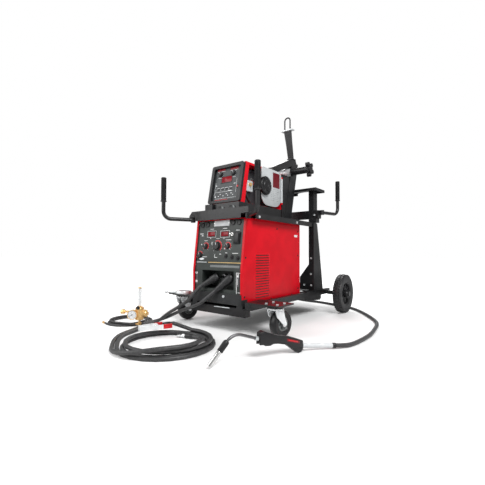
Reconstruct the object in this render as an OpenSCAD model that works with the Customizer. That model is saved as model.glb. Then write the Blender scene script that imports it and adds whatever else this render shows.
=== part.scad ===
// Multi-process welder on a wheeled cart: power source, wire feeder on a shelf,
// cable lugs, coiled work cable, welding gun, work clamp and gas regulator.
// Front faces -Y, right side is +X, the floor is z = 0.

/* [Power source] */
// Width over the red side panels
power_w = 410; // [380:5:430]
// Depth of the side panels
power_l = 683; // [640:1:720]
// Height of the case above the cart deck
power_h = 529; // [500:1:560]
// Height above the deck where the front starts to lean back
knee_h = 217; // [200:1:230]
// How far the top of the front leans back
lean = 36; // [20:1:50]
// Sheet thickness of panels and covers
sheet = 3; // [2:0.5:4]
// How far the front panel sits behind the side flanges
panel_set = 8; // [5:1:12]
// Gap between the side panels and the deck
side_gap = 15; // [10:1:20]
// Height of the cut-out over the front feet
foot_gap = 50; // [40:1:60]
// Length of the front feet
foot_l = 50; // [40:1:60]
// Number of cooling slots in each side panel
louvre_n = 17; // [10:1:20]
// Pitch of the cooling slots
louvre_pitch = 16; // [14:0.5:16]
// Length of each cooling slot
louvre_l = 138; // [100:1:160]
// Width of each cooling slot
louvre_w = 5; // [4:0.5:7]

/* [Terminal recess] */
// Width of the recess
recess_w = 262; // [240:1:280]
// Height of the recess
recess_h = 112; // [100:1:115]
// Depth of the recess
recess_d = 110; // [90:1:130]
// Sideways offset of the recess
recess_x = 4; // [-10:1:10]
// Spacing of the two output studs
stud_gap = 112; // [104:1:120]
// Diameter of an output stud
stud_d = 12; // [8:1:14]
// Height of the front skirt above the deck
skirt_h = 78; // [60:1:90]

/* [Controls] */
// Diameter of the output control knob
output_knob_d = 56; // [44:1:60]
// Diameter of the two arc control knobs
arc_knob_d = 36; // [28:1:44]
// Diameter of the process selector knob
selector_d = 42; // [34:1:48]
// Diameter of a knob shaft
shaft_d = 6; // [5:0.5:8]
// Height of a knob above the panel
knob_h = 18; // [12:1:24]
// Running clearance of a shaft in its bore, on the radius
shaft_fit = 0.06; // [0.03:0.01:0.1]
// Clearance between a turning part and the face behind it
face_gap = 0.3; // [0.2:0.05:0.5]

/* [Undercarriage] */
// Height of the deck above the floor
deck_z = 150; // [148:1:160]
// Half width over the side rails
rail_out = 255; // [245:1:265]
// Width of a side rail
rail_w = 30; // [26:1:34]
// Height of the top of the rails
rail_top = 182; // [180:1:190]
// Height of a side rail section
rail_h = 40; // [34:1:44]
// Length of the side rails
rail_l = 1110; // [1105:1:1130]
// Depth of the front cross member
beam_l = 50; // [40:1:60]
// Height of the front cross member
beam_h = 46; // [40:1:50]
// Plate thickness of the cart
plate = 6; // [5:0.5:8]
// Half width over the outrigger plates
outrigger_out = 452; // [445:1:460]
// Depth of an outrigger plate
outrigger_l = 160; // [150:1:170]
// Width of the bottle platform behind the columns
platform_w = 300; // [280:5:320]

/* [Rear wheels] */
// Diameter of a rear tyre
wheel_d = 304; // [296:2:312]
// Width of a rear tyre
tyre_w = 64; // [54:1:70]
// Diameter of the rim inside the tyre
rim_d = 180; // [160:2:200]
// Half track of the rear wheels
track = 385; // [375:1:395]
// Diameter of the rear axle
axle_d = 20; // [16:1:22]
// Distance of the rear axle in front of the rail ends
axle_in = 42; // [34:1:50]

/* [Casters] */
// Diameter of a caster wheel
caster_d = 152; // [140:1:156]
// Width of a caster wheel
caster_w = 48; // [40:1:52]
// Diameter of a caster wheel hub
caster_hub_d = 70; // [56:1:80]
// Half spacing of the caster swivels
caster_x = 385; // [375:1:390]
// Distance of the swivels behind the front of the power source
caster_y = 70; // [66:1:80]
// Trail of a caster wheel behind its swivel
caster_trail = 45; // [38:1:50]
// Angle at which the casters stand
caster_turn = 8; // [0:1:12]
// Thickness of a caster fork leg
fork_t = 5; // [4:0.5:6]
// Gap between a caster wheel and a fork leg
fork_gap = 4; // [3:0.5:6]

/* [Columns] */
// Width of a side column
column_w = 42; // [36:1:46]
// Distance of the column fronts before the rear end of the shelf
column_set = 57; // [54:1:62]
// Depth of a column at its top
column_top_l = 61; // [56:1:70]
// Depth of a column at its foot
column_foot_l = 162; // [140:1:166]
// Inward reach of a column gusset
gusset_w = 77; // [60:1:90]
// Height of the sloping end of a gusset above the rails
gusset_h = 203; // [180:1:220]
// Height of the low end of a gusset above the rails
gusset_low = 103; // [80:1:120]

/* [Shelf] */
// Gap between the power source and the shelf flanges
shelf_gap = 27; // [24:1:36]
// Half width of the shelf
shelf_out = 247; // [240:1:250]
// Length of the shelf
shelf_l = 870; // [860:1:880]
// Thickness of the shelf sheet
shelf_t = 4; // [3:0.5:5]
// Depth of the side flanges
flange_h = 34; // [30:1:36]
// Height of the raised front lip above the shelf
lip_h = 33; // [20:1:40]

/* [Rear bracket] */
// Half width of the cross box
box_out = 290; // [280:1:300]
// Height of the cross box
box_h = 60; // [50:1:70]
// Height of the box supports above the shelf
box_lift = 32; // [24:1:40]
// Depth of the cross box
box_l = 57; // [50:1:60]
// Height of the bottle bracket posts
post_h = 148; // [130:1:170]
// Half width of the bottle bracket plate
bracket_out = 292; // [285:1:300]
// Depth of the bottle bracket plate
bracket_l = 135; // [125:1:145]
// Height of the folded edge of the bracket plate
bracket_h = 20; // [16:1:26]

/* [Handles] */
// Diameter of a handle tube
tube_d = 25; // [22:1:26]
// Diameter of a handle grip
grip_d = 34; // [30:1:38]
// Length of a handle grip
grip_l = 150; // [120:5:170]
// Length of a handle arm
arm_l = 195; // [185:1:205]
// Height of a handle above its arm
rise = 265; // [240:5:290]
// Bend radius of a handle tube
bend_r = 50; // [40:1:60]
// Diameter of a handle pivot pin
pivot_d = 12; // [10:1:14]
// Outer diameter of a handle eye
eye_d = 34; // [30:1:36]
// Height of a handle eye
eye_h = 26; // [24:1:28]

/* [Wire feeder] */
// Width of the feeder case
feeder_w = 266; // [250:1:280]
// Sideways offset of the feeder case
feeder_x = 4; // [-10:1:10]
// Distance of the feeder front behind the front of the power source
feeder_y = 50; // [44:1:60]
// Length of the feeder case
feeder_l = 480; // [460:1:490]
// Height of the feeder base
base_h = 77; // [70:1:84]
// Height of the feeder case above its base
feeder_h = 260; // [250:1:270]
// How far the feeder front leans back
feeder_lean = 50; // [40:1:56]
// Width of the bezel frame
bezel_w = 22; // [16:1:26]
// Depth of the bezel frame
bezel_t = 20; // [14:1:24]
// Diameter of the feeder knobs
feeder_knob_d = 34; // [26:1:40]
// Width of the red flange beside the bezel
flange_w = 36; // [28:1:40]

/* [Wire drive] */
// Sideways place of the wire
wire_x = 100; // [96:1:104]
// Height of the wire above the shelf
wire_h = 211; // [200:1:220]
// Diameter of the drive rolls
roll_d = 38; // [34:1:40]
// Width of the drive rolls
roll_w = 16; // [12:1:18]
// Length of the drive cover
cover_l = 246; // [230:1:248]
// Height of the drive cover
cover_h = 256; // [240:1:260]
// Thickness of the drive cover
cover_t = 6; // [4:0.5:8]
// Diameter of the ribbed cover knob
cover_knob_d = 124; // [100:2:130]
// Ribs round the cover knob
cover_knob_ribs = 36; // [24:1:40]

/* [Spool stand] */
// Distance of the spindle behind the front of the power source
spindle_y = 638; // [630:1:642]
// Height of the spindle above the shelf
spindle_h = 366; // [360:1:375]
// Diameter of the spool hub
hub_d = 50; // [48:0.5:51]
// Length of the spool hub
hub_l = 122; // [110:1:130]
// Diameter of the spindle tube
spindle_tube_d = 54; // [48:1:58]
// Diameter of the spindle shaft
spindle_d = 30; // [24:1:34]
// Diameter of the star nut
star_d = 108; // [90:1:120]
// Width of the stand mast
mast_w = 56; // [48:1:60]
// Width of the lifting bail bar
bail_w = 52; // [46:1:60]
// Thickness of the lifting bail bar
bail_t = 8; // [6:0.5:10]
// Bore of the lifting eye
eye_bore = 36; // [30:1:40]
// Rod diameter of the lifting eye
eye_rod = 10; // [8:0.5:12]

/* [Gun] */
// Diameter of the gun nozzle
nozzle_d = 22; // [18:1:26]
// Diameter of the gun neck tube
neck_d = 13; // [10:1:15]
// Bend radius of the gun neck
neck_r = 70; // [60:1:80]
// Straight length of nozzle and sleeve
nozzle_l = 118; // [110:1:125]
// Length of the gun handle
gun_l = 250; // [235:1:260]
// Width of the gun handle
gun_w = 34; // [28:1:40]
// Length of the cable guard
guard_l = 190; // [170:1:195]

/* [Work clamp] */
// Length of a clamp arm
clamp_l = 170; // [150:1:180]
// Width of a clamp arm
clamp_w = 30; // [24:1:32]
// Thickness of a clamp arm
clamp_t = 8; // [6:0.5:9]

/* [Regulator] */
// Diameter of the regulator body
reg_d = 52; // [44:1:58]
// Height of the regulator body
reg_h = 78; // [70:1:90]
// Height of the regulator body above the floor
reg_z = 46; // [40:1:50]
// Diameter of the flow tube
flow_d = 26; // [20:1:30]
// Height of the flow tube
flow_h = 113; // [100:1:125]
// Diameter of the cylinder pressure gauge
gauge_d = 62; // [50:1:66]

/* [Cables] */
// Diameter of the weld cables
weld_d = 21; // [18:0.5:21]
// Diameter of the gas hose
hose_d = 13; // [9:0.5:13]
// Diameter of the gun cable
gun_d = 22; // [18:0.5:22]

/* [Hidden] */
$fn = 48;

// Paint and material colours
red = [0.78, 0.03, 0.05];
black = [0.06, 0.06, 0.065];
panel_grey = [0.16, 0.18, 0.17];
dark_grey = [0.25, 0.26, 0.27];
silver = [0.75, 0.76, 0.77];
brass = [0.80, 0.62, 0.30];
rubber = [0.09, 0.09, 0.09];
display_red = [0.45, 0.05, 0.08];

// Heights worked out from the stack: deck, power source, shelf, feeder
power_top = deck_z + power_h;
shelf_z = power_top + shelf_gap;
shelf_under = shelf_z - shelf_t;
knee_z = deck_z + knee_h;
lean_a = atan(lean / (power_h - knee_h));
box_z = shelf_z + box_lift;
box_top = box_z + box_h;
bracket_z = box_top + post_h;
base_top = shelf_z + base_h;
feeder_top = base_top + feeder_h;
feeder_a = atan(feeder_lean / feeder_h);
feeder_left = feeder_x - feeder_w / 2;
feeder_right = feeder_x + feeder_w / 2;
feeder_end = feeder_y + feeder_l;
wire_z = shelf_z + wire_h;
spindle_z = shelf_z + spindle_h;
rail_in = rail_out - rail_w;
column_in = rail_out - column_w;
wheel_r = wheel_d / 2;
axle_y = rail_l - axle_in;
column_y = shelf_l - column_set;
deck_end = rail_l - 125;
platform_y = rail_l - 180;
caster_r = caster_d / 2;

recess_top = knee_z - 5;
recess_low = recess_top - recess_h;
skirt_top = deck_z + skirt_h;

// Where the loose pieces lie: gun, clamp and regulator
gun_at = [431, -497, 0];
gun_turn = 69;
gun_way = [cos(gun_turn), sin(gun_turn), 0];
nozzle_a = 48;
tip_z = 12;
guard_start = [600, -52, 29];
guard_way = unit([123, 157, -13]);
guard_d = 26;
guard_end = guard_start + guard_l * guard_way;
reg_at = [-426, -247, 0];
reg_way = [0.783, 0.622, 0];
reg_side = [0.622, -0.783, 0];
inlet_l = 118;
inlet_nut_d = 32;
clamp_at = [-175.8, -423.7, 61.5];
clamp_turn = 80;

// The model's origin: middle of the footprint without the loose cords
low_x = reg_at.x - inlet_l * reg_way.x - inlet_nut_d / 2 * reg_way.y;
high_x = guard_end.x + guard_d / 2 * sqrt(1 - guard_way.x * guard_way.x);
low_y = gun_at.y - nozzle_d / 2 * sqrt(1 - pow(cos(nozzle_a) * gun_way.y, 2));
high_y = axle_y + wheel_r;
footprint_x = (low_x + high_x) / 2;
footprint_y = (low_y + high_y) / 2;
module place() translate([-footprint_x, -footprint_y, 0]) children();

// Outline of a rectangle with round corners, centred
function round_rect(w, h, r, n = 5) = [for (c = [[1, 1, 0], [-1, 1, 90], [-1, -1, 180], [1, -1, 270]])
  for (i = [0:n]) [c[0] * (w / 2 - r) + r * cos(c[2] + 90 * i / n), c[1] * (h / 2 - r)
    + r * sin(c[2] + 90 * i / n)]];
// A box given by its lowest and highest corners
module box(lo, hi) translate(lo) cube(hi - lo);
// An outline in Y and Z, extruded along X from x0 to x1
module yz_plate(points, x0, x1) translate([x0, 0, 0]) rotate([90, 0, 90]) linear_extrude(x1 - x0)
  polygon(points);
// A round bar between two points
module bar(p, q, d) {
  v = q - p;
  translate(p) rotate([0, acos(v.z / norm(v)), atan2(v.y, v.x)]) cylinder(d = d, h = norm(v));
}
module mirror_x() {
  children();
  mirror([1, 0, 0]) children();
}

// ---- swept tubes ----
function unit(v) = v / norm(v);
function tangent(p, i) = unit(p[min(i + 1, len(p) - 1)] - p[max(i - 1, 0)]);
function side_of(t) = unit(cross(t, [0, 0, 1]));
function ring(c, t, r, sides) = let (s = side_of(t), u = cross(s, t))
  [for (k = [0:sides - 1]) c + r * (cos(360 * (k + 0.5) / sides) * s + sin(360 * (k + 0.5) / sides) * u)];
module tube(p, d, sides) {
  n = len(p);
  points = [for (i = [0:n - 1]) each ring(p[i], tangent(p, i), d / 2, sides)];
  walls = [for (i = [0:n - 2]) for (k = [0:sides - 1])
    let (a = i * sides + k, b = i * sides + (k + 1) % sides) each [[a, b, b + sides], [a, b + sides,
      a + sides]]];
  first = [for (k = [1:sides - 2]) [0, k + 1, k]];
  last = [for (k = [1:sides - 2]) [0, k, k + 1] + (n - 1) * sides * [1, 1, 1]];
  polyhedron(points, concat(walls, first, last));
}
// Smooth curve through hand-chosen points, with a straight start and end
function spline_point(a, b, c, d, t) = 0.5 * (2 * b + (c - a) * t + (2 * a - 5 * b + 4 * c - d) * t * t
  + (3 * b - a - 3 * c + d) * t * t * t);
function spline(p, steps) = let (n = len(p)) [for (i = [0:n - 2]) let (s = i == 0 || i == n - 2 ? 1 : steps)
  for (k = [0:s - 1]) spline_point(p[max(i - 1, 0)], p[i], p[i + 1], p[min(i + 2, n - 1)], k / s), p[n - 1]];
// Least gap of a wound tube to itself, skipping neighbours along the tube
function self_gap(p, d, skip) = min([for (i = [0:len(p) - 1 - skip]) for (j = [i + skip:len(p) - 1])
  norm(p[i] - p[j])]) - d;

// A frame on the leaning front of the power source: z points out of the flange plane
module on_front(x, z) translate([x, (z - knee_z) * tan(lean_a), z]) rotate([90 - lean_a, 0, 0]) children();
// The same on the front of the feeder
module on_feeder(x, z) translate([feeder_x + x, feeder_y + (z - base_top) * tan(feeder_a), z])
  rotate([90 - feeder_a, 0, 0]) children();
// A shaft and the bore that it runs in
module shaft(d, h) cylinder(d = d, h = h);
module shaft_bore(d, h) cylinder(d = d + 2 * shaft_fit, h = h);
// A turning knob on its shaft; z = 0 is the face behind it
module knob(d, h, shaft_l) {
  translate([0, 0, face_gap]) {
    cylinder(d = d, h = h * 0.55);
    cylinder(d = d * 0.84, h = h);
    translate([-d * 0.05, 0, h]) cube([d * 0.1, d * 0.36, 1]);
  }
  translate([0, 0, -shaft_l]) shaft(shaft_d, shaft_l + face_gap + h / 2);
}

// ---- cart ----
outrigger_t = 8;
caster_top = rail_top;
race_d = 70;
race_t = 6;
kingpin_d = 16;
crown_top = caster_top - plate - race_t;
module outrigger() {
  box([rail_in, 0, rail_top], [outrigger_out, outrigger_l, rail_top + outrigger_t]);
  difference() {
    union() {
      box([caster_x - 50, caster_y - 50, caster_top - plate], [caster_x + 50, caster_y + 50, caster_top]);
      translate([caster_x, caster_y, crown_top + face_gap])
        cylinder(d = race_d, h = race_t - face_gap);
    }
    translate([caster_x, caster_y, crown_top - 1]) shaft_bore(kingpin_d, plate + race_t + 1);
  }
}
platform_z = rail_top - 18;
platform_end = rail_l + 70;
module base_frame() place() color(black) {
  mirror_x() {
    box([rail_in, 0, rail_top - rail_h], [rail_out, rail_l, rail_top]);
    translate([0, rail_l, 0]) yz_plate([[-470, rail_top - rail_h], [-440, 131], [-328, 115], [-185, 105],
      [-170, 120], [-170, rail_top - rail_h]], rail_out - 5, rail_out);
    outrigger();
    // axle, its spacer and its end cap
    translate([0, axle_y, wheel_r]) rotate([0, 90, 0]) {
      translate([0, 0, rail_out - 1]) cylinder(d = 32, h = track - tyre_w / 2 - 12 - face_gap - rail_out + 1);
      cylinder(d = axle_d, h = track + tyre_w / 2 + 20);
      translate([0, 0, track + tyre_w / 2 + 12 + face_gap]) cylinder(d = 40, h = 8);
    }
  }
  box([-rail_in, 0, deck_z - beam_h - 3], [rail_in, beam_l, deck_z]);
  box([-rail_in, beam_l, deck_z - 4], [rail_in, deck_end, deck_z]);
  box([-rail_in, rail_l - 25, rail_top - rail_h], [rail_in, rail_l, platform_z]);
  box([-platform_w / 2, platform_y, platform_z], [platform_w / 2, platform_end, platform_z + 4]);
  box([-platform_w / 2, platform_end, platform_z], [platform_w / 2, platform_end + 4, platform_z + 40]);
  mirror_x() box([platform_w / 2 - 4, platform_y, deck_z], [platform_w / 2, platform_end, platform_z]);
}
column_end = column_y + column_foot_l;
module side_columns() place() color(black) mirror_x() {
  yz_plate([[column_y, rail_top + plate], [column_end, rail_top + plate],
    [column_y + column_top_l, shelf_under], [column_y, shelf_under]], column_in, rail_out);
  box([column_in, column_y - 113, rail_top], [rail_out, column_end + 10, rail_top + plate]);
  translate([0, column_y + 3, 0]) rotate([90, 0, 0]) linear_extrude(3)
    polygon([[column_in, rail_top + gusset_h], [column_in - gusset_w, rail_top + gusset_low],
      [column_in - gusset_w, rail_top + 8], [column_in, rail_top + 8]]);
}
pivot_x = 230;
pivot_y = 20;
front_arm_z = shelf_under - 0.3 - eye_h / 2;
pivot_cap_d = 30;
module shelf_pin() translate([pivot_x, pivot_y, 0]) {
  translate([0, 0, front_arm_z - eye_h / 2 - 1]) shaft(pivot_d, eye_h + 2);
  translate([0, 0, front_arm_z - eye_h / 2 - face_gap - 5]) cylinder(d = pivot_cap_d, h = 5);
}
module feeder_shelf() place() color(black) {
  box([-shelf_out, 0, shelf_under], [shelf_out, shelf_l, shelf_z]);
  translate([0, shelf_t, 0]) rotate([90, 0, 0]) linear_extrude(shelf_t)
    polygon([[-shelf_out, shelf_under], [shelf_out, shelf_under], [shelf_out, shelf_z + lip_h],
      [-shelf_out + 26, shelf_z + lip_h], [-shelf_out, shelf_z + 4]]);
  box([-shelf_out + 55, 0, shelf_z - flange_h + 4], [shelf_out - 55, shelf_t, shelf_under]);
  mirror_x() {
    box([shelf_out - shelf_t, pivot_y + 55, shelf_z - flange_h], [shelf_out, column_y - 3, shelf_under]);
    shelf_pin();
  }
}
rear_pivot_x = box_out + 20;
rear_arm_z = box_top - 4 - face_gap - eye_h / 2;
rear_pivot_y = column_y + box_l / 2;
module rear_lug(z, t) translate([0, 0, z]) linear_extrude(t) {
  translate([box_out - 2, rear_pivot_y - eye_d / 2]) square([22, eye_d]);
  translate([rear_pivot_x, rear_pivot_y]) circle(d = eye_d);
}
module cross_box() place() color(black) {
  difference() {
    box([-box_out, column_y, box_z], [box_out, column_y + box_l, box_top]);
    box([-box_out + 4, column_y + 4, box_z - 1], [box_out - 4, column_y + box_l - 4, box_top - 4]);
  }
  mirror_x() {
    box([column_in, column_y, shelf_z], [column_in + 62, column_y + box_l, box_z]);
    rear_lug(box_top - 4, 4);
    rear_lug(rear_arm_z - eye_h / 2 - face_gap - 4, 4);
    translate([rear_pivot_x, rear_pivot_y, rear_arm_z - eye_h / 2 - 2]) shaft(pivot_d, eye_h + 4);
  }
}
bracket_y = column_y - 43;
module bottle_bracket() place() color(black) {
  mirror_x() box([column_in, column_y, box_top], [rail_out, column_y + column_top_l,
    bracket_z + bracket_h - 3]);
  difference() {
    box([-bracket_out, bracket_y, bracket_z], [bracket_out, bracket_y + bracket_l + 25,
      bracket_z + bracket_h]);
    box([-bracket_out + 4, bracket_y + 4, bracket_z - 1],
      [bracket_out - 4, bracket_y + bracket_l + 21, bracket_z + bracket_h - 4]);
    for (x = [-1, 1]) translate([x * 140, bracket_y + bracket_l + 95, bracket_z - 1])
      cylinder(r = 110, h = bracket_h + 2);
  }
}
bolt_d = 16;
bolt_h = 6;
module bolt_head() cylinder(d = bolt_d, h = bolt_h, $fn = 6);
module frame_bolts() place() color(silver) {
  // on the column gussets, facing forward
  mirror_x() for (p = [[232, 311], [234, 226], [234, 431], [175, 226]])
    translate([p.x, column_y, p.y]) rotate([90, 0, 0]) bolt_head();
  // on the cross box
  mirror_x() translate([column_in + 50, column_y, box_z + 24]) rotate([90, 0, 0]) bolt_head();
  // on the shelf flanges
  mirror_x() for (y = [105, 560]) translate([shelf_out, y, shelf_z - 20]) rotate([0, 90, 0]) bolt_head();
  // on the outriggers
  mirror_x() for (x = [-36, 36]) for (y = [-36, 36])
    translate([caster_x + x, caster_y + y, rail_top + outrigger_t]) bolt_head();
  // on the skirt of the power source
  translate([66, -sheet, deck_z + 60]) rotate([90, 0, 0]) bolt_head();
}
fork_in = caster_w / 2 + fork_gap;
caster_axle_d = 12;
module caster_fork() {
  rotate(-caster_turn) {
    translate([0, 0, crown_top - 12]) cylinder(d = 95, h = 12);
    translate([0, 0, crown_top - 2]) shaft(kingpin_d, plate + race_t + 1);
    for (s = [-1, 1]) translate([s * (fork_in + fork_t / 2), 0, 0]) yz_plate([[-26, crown_top - 3],
      [-30, crown_top - 18], [caster_trail - 18, caster_r], [caster_trail - 9, caster_r - 14],
      [caster_trail + 9, caster_r - 14], [caster_trail + 18, caster_r], [34, crown_top - 18],
      [30, crown_top - 3]], -fork_t / 2, fork_t / 2);
    translate([-fork_in - fork_t - 6, caster_trail, caster_r]) rotate([0, 90, 0])
      shaft(caster_axle_d, 2 * (fork_in + fork_t + 6));
    for (s = [-1, 1]) translate([s * (fork_in + fork_t + 2.5), caster_trail, caster_r]) rotate([0, 90, 0])
      cylinder(d = 22, h = 5, center = true);
  }
}
module caster_wheel() rotate(-caster_turn) translate([0, caster_trail, caster_r]) rotate([0, 90, 0])
  difference() {
    union() {
      rotate_extrude() polygon(concat([[1, -caster_w / 2 + 8], [caster_hub_d / 2, -caster_w / 2 + 8],
        [caster_hub_d / 2 + 6, -caster_w / 2]], crown(caster_r, caster_w), [[caster_hub_d / 2 + 6,
          caster_w / 2],
        [caster_hub_d / 2, caster_w / 2 - 8], [1, caster_w / 2 - 8]]));
      cylinder(d = 30, h = 2 * (fork_in - face_gap), center = true);
    }
    cylinder(d = caster_axle_d + 2 * shaft_fit, h = caster_w * 2, center = true);
  }
// Rounded tread outline of a tyre: radius, place across
function crown(r, w) = [for (t = [-60:20:60]) [r - w * 0.36 * (1 - cos(t)), w / 2 * sin(t) / sin(60)]];
module caster_at(side) place() translate([side * caster_x, caster_y, 0]) children();
module caster_fork_left() caster_at(-1) color(silver) caster_fork();
module caster_fork_right() caster_at(1) color(silver) caster_fork();
module caster_wheel_left() caster_at(-1) color(rubber) caster_wheel();
module caster_wheel_right() caster_at(1) color(rubber) caster_wheel();

module rear_wheel() rotate([0, 90, 0]) difference() {
  union() {
    rotate_extrude() polygon(concat([[22, -12], [rim_d / 2 - 14, -12], [rim_d / 2, -tyre_w / 2 + 6]],
      crown(wheel_r, tyre_w), [[rim_d / 2, tyre_w / 2 - 6], [rim_d / 2 - 14, 12], [22, 12]]));
    cylinder(d = 56, h = tyre_w + 24, center = true);
  }
  cylinder(d = axle_d + 2 * shaft_fit, h = tyre_w * 2, center = true);
}
module rear_wheel_left() place() color(rubber) translate([-track, axle_y, wheel_r]) rear_wheel();
module rear_wheel_right() place() color(rubber) translate([track, axle_y, wheel_r]) rear_wheel();

// L-shaped push handle: eye, arm along +X, bend, upright, grip
module push_handle() {
  difference() {
    union() {
      cylinder(d = eye_d, h = eye_h, center = true);
      rotate([0, 90, 0]) cylinder(d = tube_d, h = arm_l - bend_r);
    }
    cylinder(d = pivot_d + 2 * shaft_fit, h = eye_h + 2, center = true);
  }
  translate([arm_l - bend_r, 0, bend_r]) rotate([90, 0, 0]) rotate([0, 0, -90])
    rotate_extrude(angle = 90) translate([bend_r, 0]) circle(d = tube_d);
  translate([arm_l, 0, bend_r]) cylinder(d = tube_d, h = rise - bend_r - 4);
  translate([arm_l, 0, rise - grip_l]) {
    cylinder(d = grip_d, h = grip_l);
    translate([0, 0, -6]) cylinder(d = grip_d + 4, h = 8);
  }
}
front_turn_right = -38;
front_turn_left = -119;
rear_turn = 76;
module front_handle(side, turn) place() color(black)
  translate([side * pivot_x, pivot_y, front_arm_z]) rotate(turn) push_handle();
module rear_handle(side, turn) place() color(black)
  translate([side * rear_pivot_x, rear_pivot_y, rear_arm_z]) rotate(turn) push_handle();
module handle_front_left() front_handle(-1, front_turn_left);
module handle_front_right() front_handle(1, front_turn_right);
module handle_rear_left() rear_handle(-1, 180 - rear_turn);
module handle_rear_right() rear_handle(1, rear_turn);

// ---- power source ----
half_w = power_w / 2;
side_low = deck_z + side_gap;
lip_w = 15;
front_w = power_w - 2 * sheet;
module power_case() place() color(red) {
  mirror_x() difference() {
    union() {
      yz_plate([[0, deck_z + foot_gap], [foot_l, deck_z + foot_gap], [foot_l, side_low], [power_l, side_low],
        [power_l, power_top], [lean, power_top], [0, knee_z]], half_w - sheet, half_w);
      // front flanges, upright and leaning
      box([half_w - lip_w, 0, deck_z + foot_gap], [half_w - 1, sheet, knee_z]);
      translate([half_w - lip_w, 0, knee_z]) rotate([-lean_a, 0, 0])
        cube([lip_w - 1, sheet, (power_h - knee_h) / cos(lean_a) - 1]);
    }
    for (i = [0:louvre_n - 1]) translate([half_w - sheet - 1, 133, deck_z + 55 + i * louvre_pitch])
      cube([sheet + 2, louvre_l, louvre_w]);
  }
  box([-half_w, lean, power_top - sheet], [half_w, power_l, power_top]);
}
foot_w = 42;
module power_base() place() color(dark_grey) {
  box([-front_w / 2, foot_l, side_low], [front_w / 2, power_l - sheet, side_low + 3]);
  mirror_x() {
    box([half_w - foot_w, 0, deck_z], [half_w, foot_l, deck_z + foot_gap]);
    box([half_w - foot_w, power_l - 60, deck_z], [half_w - sheet, power_l - sheet, side_low]);
  }
  box([-half_w + 5, -sheet, side_low], [half_w - 5, 0, skirt_top]);
  box([-half_w + foot_w, 0, side_low], [half_w - foot_w, foot_l, side_low + 3]);
}
knob_z = 513;
main_x = -14;
arc_x = [-114, 73];
selector_at = [-162, 456];
switch_at = [105, 584];
pot_l = 12;
front_z = -panel_set * cos(lean_a);
// A control's bore through the panel and the body behind it
module control_body() translate([0, 0, front_z - sheet - pot_l]) cylinder(d = 24, h = pot_l + 1);
module control_bore() translate([0, 0, front_z - sheet - pot_l - 1]) shaft_bore(shaft_d, sheet + pot_l + 2);
module control_places() {
  on_front(main_x, knob_z) children();
  for (x = arc_x) on_front(x, knob_z) children();
  on_front(selector_at.x, selector_at.y) children();
}
recess_left = recess_x - recess_w / 2;
recess_right = recess_x + recess_w / 2;
panel_y = panel_set + sheet;
panel_top = power_top - 5;
panel_lean = (panel_top - knee_z) * tan(lean_a);
module power_front() place() color(panel_grey) difference() {
  union() {
    // panel sheet, upright and leaning
    yz_plate([[panel_set, skirt_top], [panel_y, skirt_top], [panel_y, knee_z], [panel_y + panel_lean,
      panel_top],
      [panel_set + panel_lean, panel_top], [panel_set, knee_z]], -front_w / 2, front_w / 2);
    control_places() control_body();
    box([-half_w + lip_w + face_gap, 0, skirt_top], [half_w - lip_w - face_gap, panel_y, skirt_top + 3]);
    // terminal recess
    box([recess_left - 3, panel_set, recess_low - 3], [recess_right + 3, recess_d + 3, recess_top + 3]);
  }
  box([recess_left, -1, recess_low], [recess_right, recess_d, recess_top]);
  control_places() control_bore();
}
grille_n = 11;
module power_rear() place() color(panel_grey) difference() {
  union() {
    box([-front_w / 2, power_l - sheet, side_low + 3], [front_w / 2, power_l, power_top - sheet]);
    // cable gland
    translate([130, power_l - 1, 250]) rotate([-90, 0, 0]) cylinder(d = 44, h = 26);
    // gas and control sockets
    for (x = [-150, -100]) translate([x, power_l - 1, 240]) rotate([-90, 0, 0]) cylinder(d = 34, h = 16);
  }
  for (i = [0:grille_n - 1]) box([-110, power_l - sheet - 1, 330 + i * 20], [110, power_l + 1, 339 + i * 20]);
  translate([130, power_l - 9, 250]) rotate([-90, 0, 0]) cylinder(d = 24, h = 40);
}
stud_z = recess_low + 68;
stud_x = [36 - stud_gap / 2, 36 + stud_gap / 2];
stud_y = 26;
boot_d = 27;
boot_wide = 42;
boot_a = [[-20, 26, 318], [-98, -14, 268]];
boot_b = [[92, 26, 318], [14, -17, 242]];
module lug_and_boot(x, from, to) {
  translate([x, recess_d, stud_z]) rotate([90, 0, 0]) {
    cylinder(d = stud_d, h = recess_d - stud_y + 22);
    cylinder(d = 40, h = 14);
    translate([0, 0, recess_d - stud_y - 4]) cylinder(d = 30, h = 8);
    translate([0, 0, recess_d - stud_y + 4]) cylinder(d = 22, h = 10, $fn = 6);
  }
  v = to - from;
  translate(from) rotate([0, acos(v.z / norm(v)), atan2(v.y, v.x)])
    cylinder(d1 = boot_wide, d2 = boot_d, h = norm(v));
}
module output_lugs() place() color(black) {
  lug_and_boot(stud_x[0], boot_a[0], boot_a[1]);
  lug_and_boot(stud_x[1], boot_b[0], boot_b[1]);
}
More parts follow.
